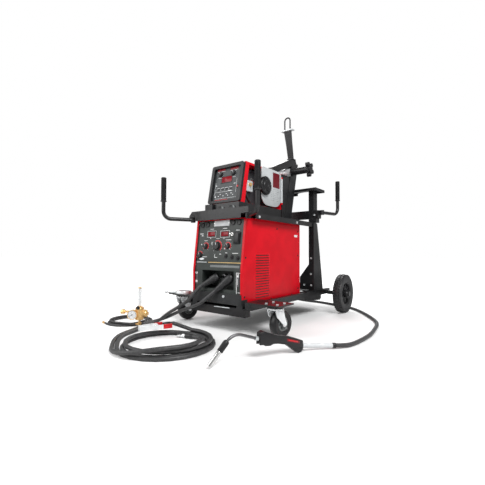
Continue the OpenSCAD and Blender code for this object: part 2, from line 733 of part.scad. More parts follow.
// Raised pieces on the panel: bezel plates, lenses, breakers, socket
module raised(x, z, w, h, t) on_front(x, z) translate([0, 0, front_z + t / 2]) cube([w, h, t], center = true);
module panel_fittings() place() color(silver) {
  raised(9, 656, 128, 36, 2);
  for (p = [[-71, 590], [42, 588]]) raised(p.x, p.y, 62, 32, 3);
  raised(142, 560, 47, 72, 14);
  raised(186, 623, 8, 8, 3);
  for (p = [[64, 452], [112, 446], [159, 441]]) on_front(p.x, p.y) translate([0, 0, front_z])
    cylinder(d = 16, h = 9);
  raised(4, 412, 376, 4, 1);
  for (x = [-179, 164]) box([x - 11, panel_set - 1.5, 272], [x + 11, panel_set, 352]);
  // knob rings
  for (p = [[main_x, 76], [arc_x[0], 50], [arc_x[1], 50]])
    on_front(p[0], knob_z) translate([0, 0, front_z]) difference() {
      cylinder(d = p[1], h = 0.8);
      translate([0, 0, -1]) cylinder(d = p[1] - 14, h = 3);
    }
  // bush of the power switch
  on_front(switch_at.x, switch_at.y) translate([0, 0, front_z]) difference() {
    translate([-10, -9, 0]) cube([20, 18, 10]);
    translate([-4, -10, -1]) cube([8, 20, 12]);
    translate([-11, 0, 6]) rotate([0, 90, 0]) shaft_bore(4, 22);
  }
}
switch_pivot = 6;
module power_switch() place() color(silver) on_front(switch_at.x, switch_at.y)
  translate([0, 0, front_z + switch_pivot]) {
    translate([-9.5, 0, 0]) rotate([0, 90, 0]) shaft(4, 19);
    translate([-3, -2.5, -3.5]) cube([6, 5, 19]);
    translate([0, 0, 14]) cylinder(d = 8, h = 8);
  }
module front_knob(x, z, d, h) place() on_front(x, z) translate([0, 0, front_z]) knob(d, h, sheet + pot_l - 2);
module output_knob() color(black) front_knob(main_x, knob_z, output_knob_d, knob_h);
module arc_knob_left() color(black) front_knob(arc_x[0], knob_z, arc_knob_d, knob_h * 0.8);
module arc_knob_right() color(black) front_knob(arc_x[1], knob_z, arc_knob_d, knob_h * 0.8);
module mode_selector() color(black) front_knob(selector_at.x, selector_at.y, selector_d, knob_h * 0.7);
fan_y = power_l - 55;
fan_z = 425;
fan_bore = 8;
pan_top = side_low + 3;
module inverter_core() place() color(dark_grey) {
  // main transformer: core and windings
  box([-120, power_l - 353, pan_top], [60, power_l - 163, pan_top + 40]);
  box([-110, power_l - 333, pan_top + 40], [50, power_l - 183, pan_top + 150]);
  // output choke
  translate([118, power_l - 253, pan_top]) cylinder(d = 100, h = 110);
  // heat sink and boards
  box([-190, 180, pan_top], [-170, power_l - 43, pan_top + 380]);
  box([170, 180, pan_top], [180, power_l - 143, pan_top + 300]);
  // fan motor on its stand
  box([-20, fan_y - 70, pan_top], [20, fan_y - 22, fan_z]);
  translate([0, fan_y - 22, fan_z]) rotate([90, 0, 0]) cylinder(d = 80, h = 48);
  translate([0, fan_y + 16, fan_z]) rotate([90, 0, 0]) shaft(fan_bore, 50);
}
fan_d = 230;
fan_blades = 5;
module cooling_fan() place() color(black) translate([0, fan_y, fan_z]) rotate([90, 0, 0]) difference() {
  union() {
    cylinder(d = 60, h = 36, center = true);
    for (i = [0:fan_blades - 1]) rotate(i * 360 / fan_blades) translate([20, 0, 0]) rotate([35, 0, 0])
      translate([0, -22, -1.5]) cube([fan_d / 2 - 20, 44, 3]);
  }
  cylinder(d = fan_bore + 2 * shaft_fit, h = 80, center = true);
}

// ---- feeder ----
bezel_in = feeder_w - 2 * bezel_w;
face_h = feeder_h / cos(feeder_a);
bezel_back = bezel_t / cos(feeder_a);
module feeder_outline(x0, x1) yz_plate([[feeder_y + bezel_back, base_top], [feeder_end, base_top],
  [feeder_end, feeder_top], [feeder_y + bezel_back + feeder_lean, feeder_top]], x0, x1);
hinge_x = feeder_right + 3.3;
hinge_y = feeder_end + 6;
hinge_d = 12;
hinge_pin = 6;
hinge_low = wire_z - 86;
hinge_high = wire_z + 87;
lug_h = 12;
module feeder_case() place() color(red) difference() {
  union() {
    // base tray
    difference() {
      box([feeder_left, feeder_y, shelf_z], [feeder_right, feeder_end, base_top]);
      box([feeder_left + 3, feeder_y + 3, shelf_z - 1], [feeder_right - 3, feeder_end - 3, base_top - 3]);
    }
    // left wall, rear wall, roof and the flange beside the bezel
    feeder_outline(feeder_left, feeder_left + sheet);
    box([feeder_left, feeder_end - sheet, base_top - 3], [feeder_right, feeder_end, feeder_top]);
    box([feeder_left, feeder_y + bezel_back + feeder_lean, feeder_top - sheet],
      [feeder_right, feeder_end, feeder_top]);
    yz_plate([[feeder_y + bezel_back, base_top], [feeder_y + bezel_back + flange_w, base_top],
      [feeder_y + bezel_back + feeder_lean + flange_w, feeder_top],
      [feeder_y + bezel_back + feeder_lean, feeder_top]], feeder_right - sheet, feeder_right);
    yz_plate([[feeder_y + bezel_back + feeder_lean, feeder_top - 14], [feeder_end, feeder_top - 14],
      [feeder_end, feeder_top], [feeder_y + bezel_back + feeder_lean, feeder_top]],
      feeder_right - sheet, feeder_right);
    // hinge lugs and pin of the drive cover
    for (z = [hinge_low - lug_h, hinge_high]) translate([0, 0, z]) {
      translate([hinge_x, hinge_y, 0]) cylinder(d = hinge_d, h = lug_h);
      box([hinge_x - 9, feeder_end - 1, 0], [hinge_x, hinge_y, lug_h]);
    }
    translate([hinge_x, hinge_y, hinge_low - lug_h]) shaft(hinge_pin, hinge_high - hinge_low + 2 * lug_h);
  }
  // wire inlet
  translate([wire_x, feeder_end - sheet - 1, wire_z]) rotate([-90, 0, 0]) cylinder(d = 30, h = sheet + 2);
}
module feeder_bezel() place() color(black) {
  on_feeder(0, base_top) translate([0, face_h / 2 + 2, -bezel_t]) linear_extrude(bezel_t) difference() {
    polygon(round_rect(feeder_w, face_h - 6, 14));
    translate([0, -2]) polygon(round_rect(bezel_in, face_h - 2 * bezel_w, 10));
  }
  // connector block and sockets on the base
  box([feeder_left, feeder_y - 20, shelf_z + 30], [feeder_left + 64, feeder_y, shelf_z + 74]);
  for (x = [-4, 86]) translate([x, feeder_y, shelf_z + 40]) rotate([90, 0, 0]) cylinder(d = 34, h = 16);
}
plate_z = -bezel_t + 3;
display_z = base_top + 162;
feeder_knobs = [[-64, base_top + 203], [46, base_top + 199]];
button_at = [94, base_top + 106];
module feeder_panel() place() color(dark_grey) difference() {
  union() {
    on_feeder(0, base_top) translate([0, face_h / 2, plate_z - 3])
      linear_extrude(3) polygon(round_rect(bezel_in - 0.4, face_h - 2 * bezel_w - 0.4, 10));
    on_feeder(-6, display_z) translate([-58, -38, plate_z - 1]) cube([116, 50, 3]);
    for (x = [-60, -20, 20, 60]) on_feeder(x, base_top + 55) translate([-7, -7, plate_z - 1]) cube([14, 14,
      3]);
    for (x = [-70, -35, 0, 35]) on_feeder(x, base_top + 101) translate([-12, -4, plate_z - 1]) cube([24, 8,
      2]);
    for (p = feeder_knobs) on_feeder(p.x, p.y) translate([0, 0, plate_z - 3 - pot_l])
      cylinder(d = 20, h = pot_l + 1);
    on_feeder(button_at.x, button_at.y) translate([0, 0, plate_z - 9]) cylinder(d = 22, h = 7);
  }
  for (p = feeder_knobs) on_feeder(p.x, p.y) translate([0, 0, plate_z - 4 - pot_l])
    shaft_bore(shaft_d, pot_l + 6);
  on_feeder(button_at.x, button_at.y) translate([0, 0, plate_z - 6]) shaft_bore(14, 8);
}
module feeder_knob(i) place() color(black) on_feeder(feeder_knobs[i].x, feeder_knobs[i].y)
  translate([0, 0, plate_z]) knob(feeder_knob_d, 14, pot_l);
module feeder_knob_left() feeder_knob(0);
module feeder_knob_right() feeder_knob(1);
button_travel = 1.5;
module feeder_button() place() color(red) on_feeder(button_at.x, button_at.y)
  translate([0, 0, plate_z - 6 + button_travel + face_gap]) shaft(14, 9);

gear_x = 70;
gear_t = 6;
roll_gap = 0.5;
drive_y = feeder_y + 165;
drive_z = wire_z - roll_d / 2 - roll_gap;
idle_z = wire_z + roll_d / 2 + roll_gap;
drive_bore = 12;
idle_bore = 8;
arm_y = drive_y + 42;
arm_x = gear_x + gear_t + 2;
arm_t = 10;
roll_x = wire_x - roll_w / 2;
module drive_unit() place() color(dark_grey) difference() {
  union() {
    box([gear_x, feeder_y + 95, base_top], [gear_x + gear_t, feeder_y + 440, feeder_top - 20]);
    // motor and gearbox
    translate([gear_x - 120, drive_y + 85, wire_z - 40]) rotate([0, 90, 0]) cylinder(d = 84, h = 121);
    box([gear_x - 40, drive_y - 30, wire_z - 80], [gear_x, drive_y + 60, wire_z + 12]);
    // drive shaft and the pin of the pressure arm
    translate([gear_x, drive_y, drive_z]) rotate([0, 90, 0]) shaft(drive_bore, roll_x + roll_w + 4 - gear_x);
    translate([gear_x, drive_y, drive_z]) rotate([0, 90, 0]) cylinder(d = 22, h = roll_x - face_gap - gear_x);
    translate([gear_x, arm_y, idle_z]) rotate([0, 90, 0]) shaft(idle_bore, arm_x + arm_t + 5 - gear_x);
    translate([gear_x, arm_y, idle_z]) rotate([0, 90, 0]) cylinder(d = 16, h = arm_x - face_gap - gear_x);
    // gun bushing block
    box([gear_x + gear_t - 1, feeder_y + 108, wire_z - 24], [wire_x + 24, feeder_y + 134, wire_z + 24]);
    // inlet guide and its post
    translate([wire_x, arm_y + 20, wire_z]) rotate([-90, 0, 0]) cylinder(d = 14, h = feeder_end - 30 - arm_y);
    box([gear_x + gear_t - 1, arm_y + 40, wire_z - 12], [wire_x, arm_y + 60, wire_z + 5]);
  }
  translate([wire_x, feeder_y + 107, wire_z]) rotate([-90, 0, 0]) cylinder(d = 22, h = 28);
  translate([wire_x, arm_y + 19, wire_z]) rotate([-90, 0, 0]) cylinder(d = 6, h = feeder_end - arm_y);
}
module roll(bore) difference() {
  union() {
    cylinder(d = roll_d, h = roll_w * 0.4);
    cylinder(d = roll_d - 2, h = roll_w);
    translate([0, 0, roll_w * 0.6]) cylinder(d = roll_d, h = roll_w * 0.4);
  }
  translate([0, 0, -1]) shaft_bore(bore, roll_w + 2);
}
module drive_roll() place() color(silver) translate([roll_x, drive_y, drive_z]) rotate([0, 90, 0])
  roll(drive_bore);
module idle_roll() place() color(silver) translate([roll_x, drive_y, idle_z]) rotate([0, 90, 0])
  roll(idle_bore);
module pressure_arm() place() color(red) difference() {
  union() {
    yz_plate([[drive_y - 26, idle_z - 10], [arm_y + 4, idle_z - 12], [arm_y + 12, idle_z], [arm_y + 4,
      idle_z + 12],
      [drive_y, idle_z + 14], [drive_y - 26, idle_z + 8]], arm_x, arm_x + arm_t);
    translate([arm_x, drive_y, idle_z]) rotate([0, 90, 0]) shaft(idle_bore, roll_x + roll_w + 4 - arm_x);
    translate([arm_x, drive_y, idle_z]) rotate([0, 90, 0]) cylinder(d = 16, h = roll_x - face_gap - arm_x);
  }
  translate([arm_x - 1, arm_y, idle_z]) rotate([0, 90, 0]) shaft_bore(idle_bore, arm_t + 2);
}
cover_gap = 0.3;
cover_x = feeder_right + cover_gap;
cover_y = hinge_y - 10 - cover_l;
cover_low = shelf_z + 85;
knob_y = cover_y + 24;
cover_bore = 12;
module drive_cover() place() color(silver) difference() {
  union() {
    translate([cover_x, cover_y + cover_l / 2, cover_low + cover_h / 2]) rotate([90, 0, 90])
      linear_extrude(cover_t) polygon(round_rect(cover_l, cover_h, 22));
    box([cover_x, hinge_y - 30, hinge_low + face_gap], [cover_x + cover_t, hinge_y, hinge_high - face_gap]);
    translate([hinge_x, hinge_y, hinge_low + face_gap])
      cylinder(d = hinge_d, h = hinge_high - hinge_low - 2 * face_gap);
    // boss of the cover knob
    translate([cover_x, knob_y, wire_z]) rotate([0, 90, 0]) cylinder(d = 30, h = cover_t + 4);
  }
  translate([hinge_x, hinge_y, hinge_low - 1]) shaft_bore(hinge_pin, hinge_high - hinge_low + 2);
  translate([cover_x - 1, knob_y, wire_z]) rotate([0, 90, 0]) shaft_bore(cover_bore, cover_t + 6);
}
module cover_knob() place() color(black) translate([cover_x, knob_y, wire_z]) rotate([0, 90, 0]) {
  translate([0, 0, -2]) shaft(cover_bore, cover_t + 12);
  translate([0, 0, cover_t + 4 + face_gap]) {
    cylinder(d = cover_knob_d - 8, h = 20);
    cylinder(d = cover_knob_d * 0.5, h = 26);
    for (i = [0:cover_knob_ribs - 1]) rotate(i * 360 / cover_knob_ribs)
      translate([cover_knob_d / 2 - 7, -2, 0]) cube([7, 4, 18]);
  }
}

// ---- spool stand and lifting bail ----
mast_x = feeder_right - mast_w;
bail_seat = shelf_z + 482;
stand_y = feeder_end + 52;
brace_y = feeder_end - 110;
module reel_stand() place() color(dark_grey) {
  box([feeder_right - 9, feeder_end + 16, shelf_z], [feeder_right - 3, feeder_end + 132, feeder_top]);
  difference() {
    yz_plate([[stand_y, shelf_z], [stand_y + 88, shelf_z], [stand_y + 201, bail_seat - 23],
      [stand_y + 108, bail_seat - 38]], mast_x, feeder_right);
    yz_plate([[stand_y + 6, shelf_z - 1], [stand_y + 118, shelf_z - 1], [stand_y + 231, bail_seat - 22],
      [stand_y + 114, bail_seat - 18]], mast_x + 4, feeder_right - 4);
  }
  box([mast_x - 20, stand_y - 7, shelf_z], [feeder_right + 20, stand_y + 118, shelf_z + 6]);
  // brace from the feeder roof to the mast
  yz_plate([[brace_y, feeder_top], [brace_y + 55, feeder_top], [stand_y + 118, bail_seat - 50],
    [stand_y + 180, bail_seat - 30], [stand_y + 166, bail_seat], [stand_y + 102, bail_seat],
    [brace_y, feeder_top + 26]], feeder_right - 36, feeder_right);
  // spindle tube on the front of the mast, and the shaft of the hub
  box([mast_x + 4, spindle_y, spindle_z - 22], [feeder_right - 4, spindle_y + 44, spindle_z + 22]);
  translate([mast_x - 20, spindle_y, spindle_z]) rotate([0, 90, 0]) cylinder(d = spindle_tube_d,
    h = mast_w + 48);
  translate([feeder_right, spindle_y, spindle_z]) rotate([0, 90, 0]) shaft(spindle_d,
    hub_l + 28 + hub_end - spindle_gap);
}
hub_x = feeder_right + 28 + face_gap;
hub_end = 30;
spindle_gap = 2;
module spindle_hub() place() color(black) translate([hub_x, spindle_y, spindle_z]) rotate([0, 90, 0])
  difference() {
  union() {
    cylinder(d = hub_d + 14, h = 8);
    cylinder(d = hub_d, h = hub_l);
    translate([0, 0, hub_l]) {
      cylinder(d = star_d * 0.5, h = 34);
      for (i = [0:4]) rotate(i * 72) hub_lobe();
    }
  }
  translate([0, 0, -1]) shaft_bore(spindle_d, hub_l + 1 + hub_end);
}
module hub_lobe() {
  translate([star_d / 2 - 15, 0, 6]) cylinder(d = 30, h = 24);
  translate([8, -11, 7]) cube([star_d / 2 - 22, 22, 22]);
}
bail_x = 118;
bail_a = atan(50 / 220);
bail_l = 213;
bail_foot = [stand_y + 124, bail_seat + 2];
bail_top = bail_foot.y + bail_l * cos(bail_a);
eye_y = bail_foot.x - bail_l * sin(bail_a);
eye_leg = 76;
module lift_bail() place() color(black) {
  translate([bail_x, bail_foot.x, bail_foot.y]) rotate([90 + bail_a, 0, 0]) linear_extrude(bail_t,
    center = true)
    polygon([[-bail_w / 2 + 3, 0], [bail_w / 2 - 3, 0], [bail_w / 2, 120], [bail_w / 2 + 4, bail_l],
      [-bail_w / 2 - 6, bail_l], [-bail_w / 2 - 4, bail_l - 30], [-bail_w / 2, 120]]);
  box([bail_x - 24, stand_y + 104, bail_seat], [bail_x + 24, stand_y + 158, bail_seat + 6]);
  box([bail_x - 50, eye_y - 18, bail_top - 1], [bail_x + 50, eye_y + 18, bail_top + 4]);
  translate([bail_x - 3, eye_y, bail_top + 3]) {
    for (s = [-1, 1]) translate([s * (eye_bore + eye_rod) / 2, 0, 0]) cylinder(d = eye_rod, h = eye_leg);
    translate([0, 0, eye_leg]) rotate([90, 0, 0]) rotate_extrude(angle = 180)
      translate([(eye_bore + eye_rod) / 2, 0]) circle(d = eye_rod);
  }
}

// ---- welding gun ----
// Upright frame along the gun: x along it, y up, z to its side
module gun_frame() place() translate(gun_at) rotate(gun_turn) rotate([90, 0, 0]) children();
neck_end_a = -18;
tip_l = 72;
tail_l = 98;
arc_c = [nozzle_l * cos(nozzle_a) + neck_r * sin(nozzle_a), tip_z + nozzle_l * sin(nozzle_a)
  - neck_r * cos(nozzle_a)];
arc_end = arc_c + neck_r * [-sin(neck_end_a), cos(neck_end_a)];
module gun_neck() gun_frame() color(silver) {
  translate([0, tip_z, 0]) rotate([0, 0, nozzle_a]) rotate([0, 90, 0]) {
    difference() {
      cylinder(d = nozzle_d, h = tip_l);
      translate([0, 0, -1]) cylinder(d = nozzle_d - 6, h = 21);
    }
    translate([0, 0, 6]) cylinder(d = 7, h = 20);
    translate([0, 0, tip_l - 1]) cylinder(d = neck_d + 8, h = nozzle_l - tip_l + 3);
  }
  translate([arc_c.x, arc_c.y, 0]) rotate(90 + neck_end_a)
    rotate_extrude(angle = nozzle_a - neck_end_a) translate([neck_r, 0]) circle(d = neck_d);
  translate([arc_end.x, arc_end.y, 0]) rotate([0, 0, neck_end_a]) rotate([0, 90, 0]) {
    translate([0, 0, -5]) cylinder(d = neck_d + 3, h = 10);
    translate([0, 0, 1]) cylinder(d = neck_d, h = tail_l);
  }
}
grip_s = 236;
trigger_pin = [grip_s + 28, 72];
slot_w = 16;
pin_d = 4;
pin_l = gun_w - 4;
module gun_handle() {
  gun_frame() color(black) difference() {
    linear_extrude(gun_w, center = true) polygon([[grip_s, 66], [grip_s + 4, 119], [grip_s + 22, 125],
      [grip_s + 87, 101], [grip_s + 181, 79], [grip_s + gun_l - 2, 55], [grip_s + gun_l - 2, 12],
      [grip_s + gun_l - 16, 3], [grip_s + gun_l - 31, 0], [grip_s + 164, 38], [grip_s + 151, 48],
      [grip_s + 98, 60], [grip_s + 90, 42], [grip_s + 76, 42], [grip_s + 80, 58]]);
    translate([grip_s + 18, 36, -slot_w / 2]) cube([72, 44, slot_w]);
    translate([trigger_pin.x, trigger_pin.y, -gun_w]) shaft_bore(pin_d, 2 * gun_w);
  }
  place() color(black) bar(guard_start, guard_end, guard_d);
}
module gun_trigger() gun_frame() color(black) {
  linear_extrude(slot_w - 1, center = true) polygon([[grip_s + 22, 67], [grip_s + 22, 77], [grip_s + 84, 73],
    [grip_s + 86, 62], [grip_s + 64, 54], [grip_s + 36, 56]]);
  translate([trigger_pin.x, trigger_pin.y, -pin_l / 2]) shaft(pin_d, pin_l);
}

// ---- work clamp on its side: x from the jaws to the cable, z to the upper arm ----
module clamp_frame() place() translate(clamp_at) rotate(clamp_turn) rotate([90, 0, 0]) children();
module clamp_plate(w) rotate([90, 0, 0]) linear_extrude(w, center = true) children();
clamp_pivot = [86, 36];
clamp_pin = 8;
ferrule_l = 45;
ferrule_end = clamp_l + 15;
ferrule_z = 13;
module clamp_lower() clamp_frame() color(silver) {
  clamp_plate(clamp_w) polygon([[0, 0], [clamp_l, 0], [clamp_l, 5], [32, 5], [24, 10], [0, 10]]);
  for (s = [-1, 1]) translate([0, s * (clamp_w / 2 - 1.5), 0])
    clamp_plate(3) polygon([[66, 4], [106, 4], [96, 44], [76, 44]]);
  translate([ferrule_end - ferrule_l, 0, ferrule_z]) rotate([0, 90, 0]) cylinder(d = 26, h = ferrule_l);
  translate([clamp_pivot.x, clamp_w / 2 + 2, clamp_pivot.y]) rotate([90, 0, 0]) shaft(clamp_pin, clamp_w + 4);
}
module clamp_upper() clamp_frame() color(silver) difference() {
  clamp_plate(clamp_w - clamp_t) polygon([[0, 12], [24, 12], [26, 18], [58, 22], [76, 30], [78, 26], [94, 26],
    [98, 44], [clamp_l, 60], [clamp_l, 67], [88, 54], [56, 30], [0, 24]]);
  translate([clamp_pivot.x, clamp_w, clamp_pivot.y]) rotate([90, 0, 0]) shaft_bore(clamp_pin, 2 * clamp_w);
}

// ---- gas regulator ----
hose_r = hose_d / 2;
hose_up = 2 * hose_d - hose_r + 1.1;
tube_foot = reg_z + reg_h + 8;
valve_z = reg_z + reg_h + 2;
inlet_z = reg_z + 51;
barb_l = 25;
valve_d = 23;
module reg_along(way, z, from) translate(reg_at + from * way + [0, 0, z])
  rotate([0, 90, atan2(way.y, way.x)]) children();
module regulator_body() place() color(brass) difference() {
  union() {
    translate(reg_at) {
      cylinder(d = 14, h = reg_z + 1);
      translate([0, 0, reg_z]) cylinder(d = reg_d, h = reg_h);
      translate([0, 0, reg_z + reg_h - 6]) cylinder(d = 34, h = 14);
      translate([0, 0, tube_foot - 1]) cylinder(d = flow_d, h = flow_h + 1);
      translate([0, 0, tube_foot + flow_h]) cylinder(d = flow_d - 6, h = 6);
    }
    // bonnet, gauge, boss of the valve
    reg_along(reg_way, reg_z + 39, 0) cylinder(d = reg_d - 2, h = 56);
    reg_along(reg_side, reg_z + 36, 8) translate([0, gauge_side, 0]) cylinder(d = gauge_d, h = 26);
    reg_along(reg_side, valve_z, 0) cylinder(d = 20, h = reg_d / 2 + 2);
    // inlet stem and nut, outlet barb
    reg_along(-reg_way, inlet_z, 0) cylinder(d = 14, h = inlet_l);
    reg_along(-reg_way, inlet_z, inlet_l - 26) cylinder(d = inlet_nut_d, h = 26);
    reg_along(-reg_way, hose_up, 0) cylinder(d = 9, h = barb_l);
  }
  reg_along(reg_side, valve_z, 4) shaft_bore(shaft_d, reg_d);
}
gauge_side = -38;
module valve_knob() place() color(black) reg_along(reg_side, valve_z, reg_d / 2 + 2 + face_gap) {
  cylinder(d = valve_d, h = 14);
  translate([0, 0, -18]) shaft(shaft_d, 19);
}

// ---- cables ----
function flat(p, z) = [for (q = p) [q.x, q.y, z]];
function smooth(t) = let (u = max(0, min(1, t))) u * u * (3 - 2 * u);
function around(c, r, a, z) = [c.x + r * cos(a), c.y + r * sin(a), z];
// Piled loops: inwards on the floor, half a turn of climb, outwards on top
function pile(c, r, pitch, inward, outward, d, start) = let (low = 360 * inward,
  all = low + 180 + 360 * outward,
  n = ceil(all / 15)) [for (i = [0:n]) let (t = all * i / n)
    around(c, r - pitch / 360 * (min(t, low) - max(0, t - low - 180)), start + t,
      d / 2 + 0.1 + (d + 1) * smooth((t - low) / 180))];
// Straight start of a cable, one diameter out of the piece that holds it
function lead(p, d) = [p[1], p[1] + d * unit(p[1] - p[0])];
weld_low = weld_d / 2 + 0.1;
work_points = concat(lead(boot_a, weld_d), [[-142, -34, 228], [-170, -43, 190], [-222, -50, 151], [-292,
  -67, 107],
  [-345, -86, 73], [-395, -98, 36], [-425, -118, 14]], flat([[-418, -160], [-392, -205], [-365, -250],
  [-333, -326], [-290, -430], [-230, -500], [-165, -549]], weld_low));
coil_c = [40, -393];
coil_r = 243;
work_loops = pile(coil_c, coil_r, weld_d + 4, 1.5, 230 / 360, weld_d, 235);
clamp_way = [cos(clamp_turn), sin(clamp_turn), 0];
clamp_mouth = clamp_at + (ferrule_end + 0.3) * clamp_way + ferrule_z * [clamp_way.y, -clamp_way.x, 0];
work_coil_points = concat(work_loops, [[-70, -186, 41], [-112, -208, 54], clamp_mouth + 22 * clamp_way,
  clamp_mouth]);
work_join = [work_loops[0] - 30 * unit(work_loops[1] - work_loops[0]), work_loops[0]];
module work_cable() place() color(rubber) tube(spline(concat(work_points, work_join), 2), weld_d, 8);
module work_coil() place() color(rubber) tube(work_coil_points, weld_d, 6);
// The electrode cable climbs on the pile, crosses it and comes down inside
function electrode_arc(t) = around(coil_c,
  lookup(t, [[0, 266], [40, 258], [75, 231], [110, 222], [135, 196], [150, 182], [188, 181]]), 240 + t,
  lookup(t, [[0, weld_low], [15, 17], [60, 48], [75, 54.5], [135, 54.5], [150, 46], [175, 18], [188, 13.6]]));
lug_at = [40, -227.5, 13.5];
lug_way = unit([-21, -7, 0]);
sleeve_l = 45;
electrode_points = concat(lead(boot_b, weld_d), [[-28, -40, 203], [-80, -52, 163], [-169, -56, 126],
  [-245, -58, 99], [-315, -60, 70], [-380, -66, 41], [-435, -86, 19]], flat([[-452, -125], [-438, -171],
  [-414, -216], [-388, -260], [-354, -335], [-309, -443], [-246, -517], [-178, -568], [-112, -611]],
    weld_low));
electrode_tail = [[84, -218, 13.5], lug_at - 22 * lug_way, lug_at];
module electrode_cable() place() color(rubber)
  tube(concat(spline(concat(electrode_points, [electrode_arc(0)]), 2), [for (t = [12:12:188])
    electrode_arc(t)],
    electrode_tail), weld_d, 8);
tongue_l = 34;
module cable_lug() place() color(silver) difference() {
  translate(lug_at) rotate([0, 90, atan2(lug_way.y, lug_way.x)]) {
    cylinder(d = 26, h = sleeve_l);
    translate([0, 0, sleeve_l - 1]) cylinder(d = 18, h = 21);
    translate([-2.5, -13, sleeve_l + 14]) cube([5, 26, tongue_l]);
  }
  translate(lug_at + (sleeve_l + 34) * lug_way - [0, 0, 8]) cylinder(d = 13, h = 16);
}
barb_end = reg_at - barb_l * reg_way + [0, 0, hose_up];
hose_c = [-608, -200];
hose_start = [-672, -340, hose_r + 0.1];
hose_loops = pile(hose_c, 148, hose_d + 2.5, 2, 218 / 360, hose_d, 262);
hose_points = concat([hose_start, hose_start + [13, -2, 0]], hose_loops, flat([[-505, -297], [-478, -285]],
  hose_up),
  [barb_end - hose_d * reg_way, barb_end]);
module gas_hose() place() color(rubber) tube(hose_points, hose_d, 6);
fitting_way = unit([-13, 2, 0]);
module hose_fitting() place() color(brass) {
  bar(hose_start, hose_start + 22 * fitting_way, 13);
  bar(hose_start + 21 * fitting_way, hose_start + 44 * fitting_way, 13.1, $fn = 6);
}
gun_low = gun_d / 2 + 0.1;
gun_points = concat([guard_end, guard_end + gun_d * guard_way, [762, 174, 12]], flat([[777, 281], [779, 444],
  [758, 614], [735, 737], [688, 858], [571, 1040], [452, 1189], [358, 1267], [211, 1330], [42, 1383],
  [-114, 1395], [-240, 1440]], gun_low));
gun_coil_c = [-380, 1335];
gun_loops = pile(gun_coil_c, 143.5, gun_d + 5, 1.25, 120 / 360, gun_d, 90);
plug_way = [-0.866, -0.5, 0];
plug_at = gun_loops[len(gun_loops) - 1] + gun_d * plug_way;
gun_coil_points = concat(gun_loops, [plug_at]);
gun_join = [gun_loops[0] - 32 * unit(gun_loops[1] - gun_loops[0]), gun_loops[0]];
module gun_cable() place() color(rubber) tube(spline(concat(gun_points, gun_join), 2), gun_d, 8);
module gun_coil() place() color(rubber) tube(gun_coil_points, gun_d, 6);
module gun_connector() place() color(brass) {
  bar(plug_at, plug_at + 50 * plug_way, 23.6);
  bar(plug_at + 49 * plug_way, plug_at + 95 * plug_way, 19);
}
echo(work_coil_gap = self_gap(work_coil_points, weld_d, 6));
echo(gas_hose_gap = self_gap(hose_points, hose_d, 8));
echo(gun_coil_gap = self_gap(gun_coil_points, gun_d, 6));
echo(footprint = [footprint_x, footprint_y], low_x = low_x, high_x = high_x, low_y = low_y, high_y = high_y);

base_frame();
side_columns();
feeder_shelf();
cross_box();
bottle_bracket();
frame_bolts();
power_case();
power_base();
power_front();
power_rear();
output_lugs();
panel_fittings();
inverter_core();
cooling_fan();
feeder_case();
feeder_bezel();
feeder_panel();
drive_unit();
reel_stand();
lift_bail();
gun_neck();
gun_handle();
gun_trigger();
clamp_lower();
clamp_upper();
regulator_body();
valve_knob();
hose_fitting();
cable_lug();
work_cable();
work_coil();
electrode_cable();
gas_hose();
gun_cable();
gun_coil();
gun_connector();
caster_fork_left();
caster_fork_right();
caster_wheel_left();
caster_wheel_right();
rear_wheel_left();
rear_wheel_right();
handle_front_left();
handle_front_right();
handle_rear_left();
handle_rear_right();
output_knob();
arc_knob_left();
arc_knob_right();
mode_selector();
power_switch();
feeder_knob_left();
feeder_knob_right();
feeder_button();
drive_roll();
idle_roll();
pressure_arm();
drive_cover();
cover_knob();
spindle_hub();
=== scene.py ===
import math

import bmesh
import bpy
from mathutils import Matrix, Vector


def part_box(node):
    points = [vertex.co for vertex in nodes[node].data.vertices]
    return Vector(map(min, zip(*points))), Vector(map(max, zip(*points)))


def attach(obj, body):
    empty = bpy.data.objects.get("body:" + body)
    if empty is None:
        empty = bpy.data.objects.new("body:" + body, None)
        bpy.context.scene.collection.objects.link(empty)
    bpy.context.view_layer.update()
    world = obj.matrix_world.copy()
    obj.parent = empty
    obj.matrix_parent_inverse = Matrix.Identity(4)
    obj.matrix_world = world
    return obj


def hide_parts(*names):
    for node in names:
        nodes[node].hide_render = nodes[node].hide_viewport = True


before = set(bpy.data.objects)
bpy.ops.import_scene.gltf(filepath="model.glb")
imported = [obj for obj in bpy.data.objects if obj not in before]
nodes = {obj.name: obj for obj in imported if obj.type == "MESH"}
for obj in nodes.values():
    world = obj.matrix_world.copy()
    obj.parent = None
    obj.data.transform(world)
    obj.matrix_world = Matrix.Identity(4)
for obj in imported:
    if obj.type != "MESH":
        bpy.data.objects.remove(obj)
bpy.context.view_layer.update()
caseLow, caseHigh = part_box("power_case")
origin = Vector(((caseLow.x + caseHigh.x) / 2, caseLow.y, 0))  # floor under the front of the power source
print("frame loaded,", len(nodes), "nodes")


def at(x, y, z):  # millimetres from the front foot of the power source
    return origin + Vector((x, y, z)) / 1000


def addObject(name, data):
    made = bpy.data.objects.new(name, data)
    bpy.context.scene.collection.objects.link(made)
    return made


# where the viewer stands; place, focal length and sensor in millimetres, reach in metres
camera = {"place": (1348.75, -1438.94, 472.69), "yaw": 38.458, "pitch": 1.81, "roll": 0.262, "focal": 23.75,
          "sensor": 36, "reach": 100}


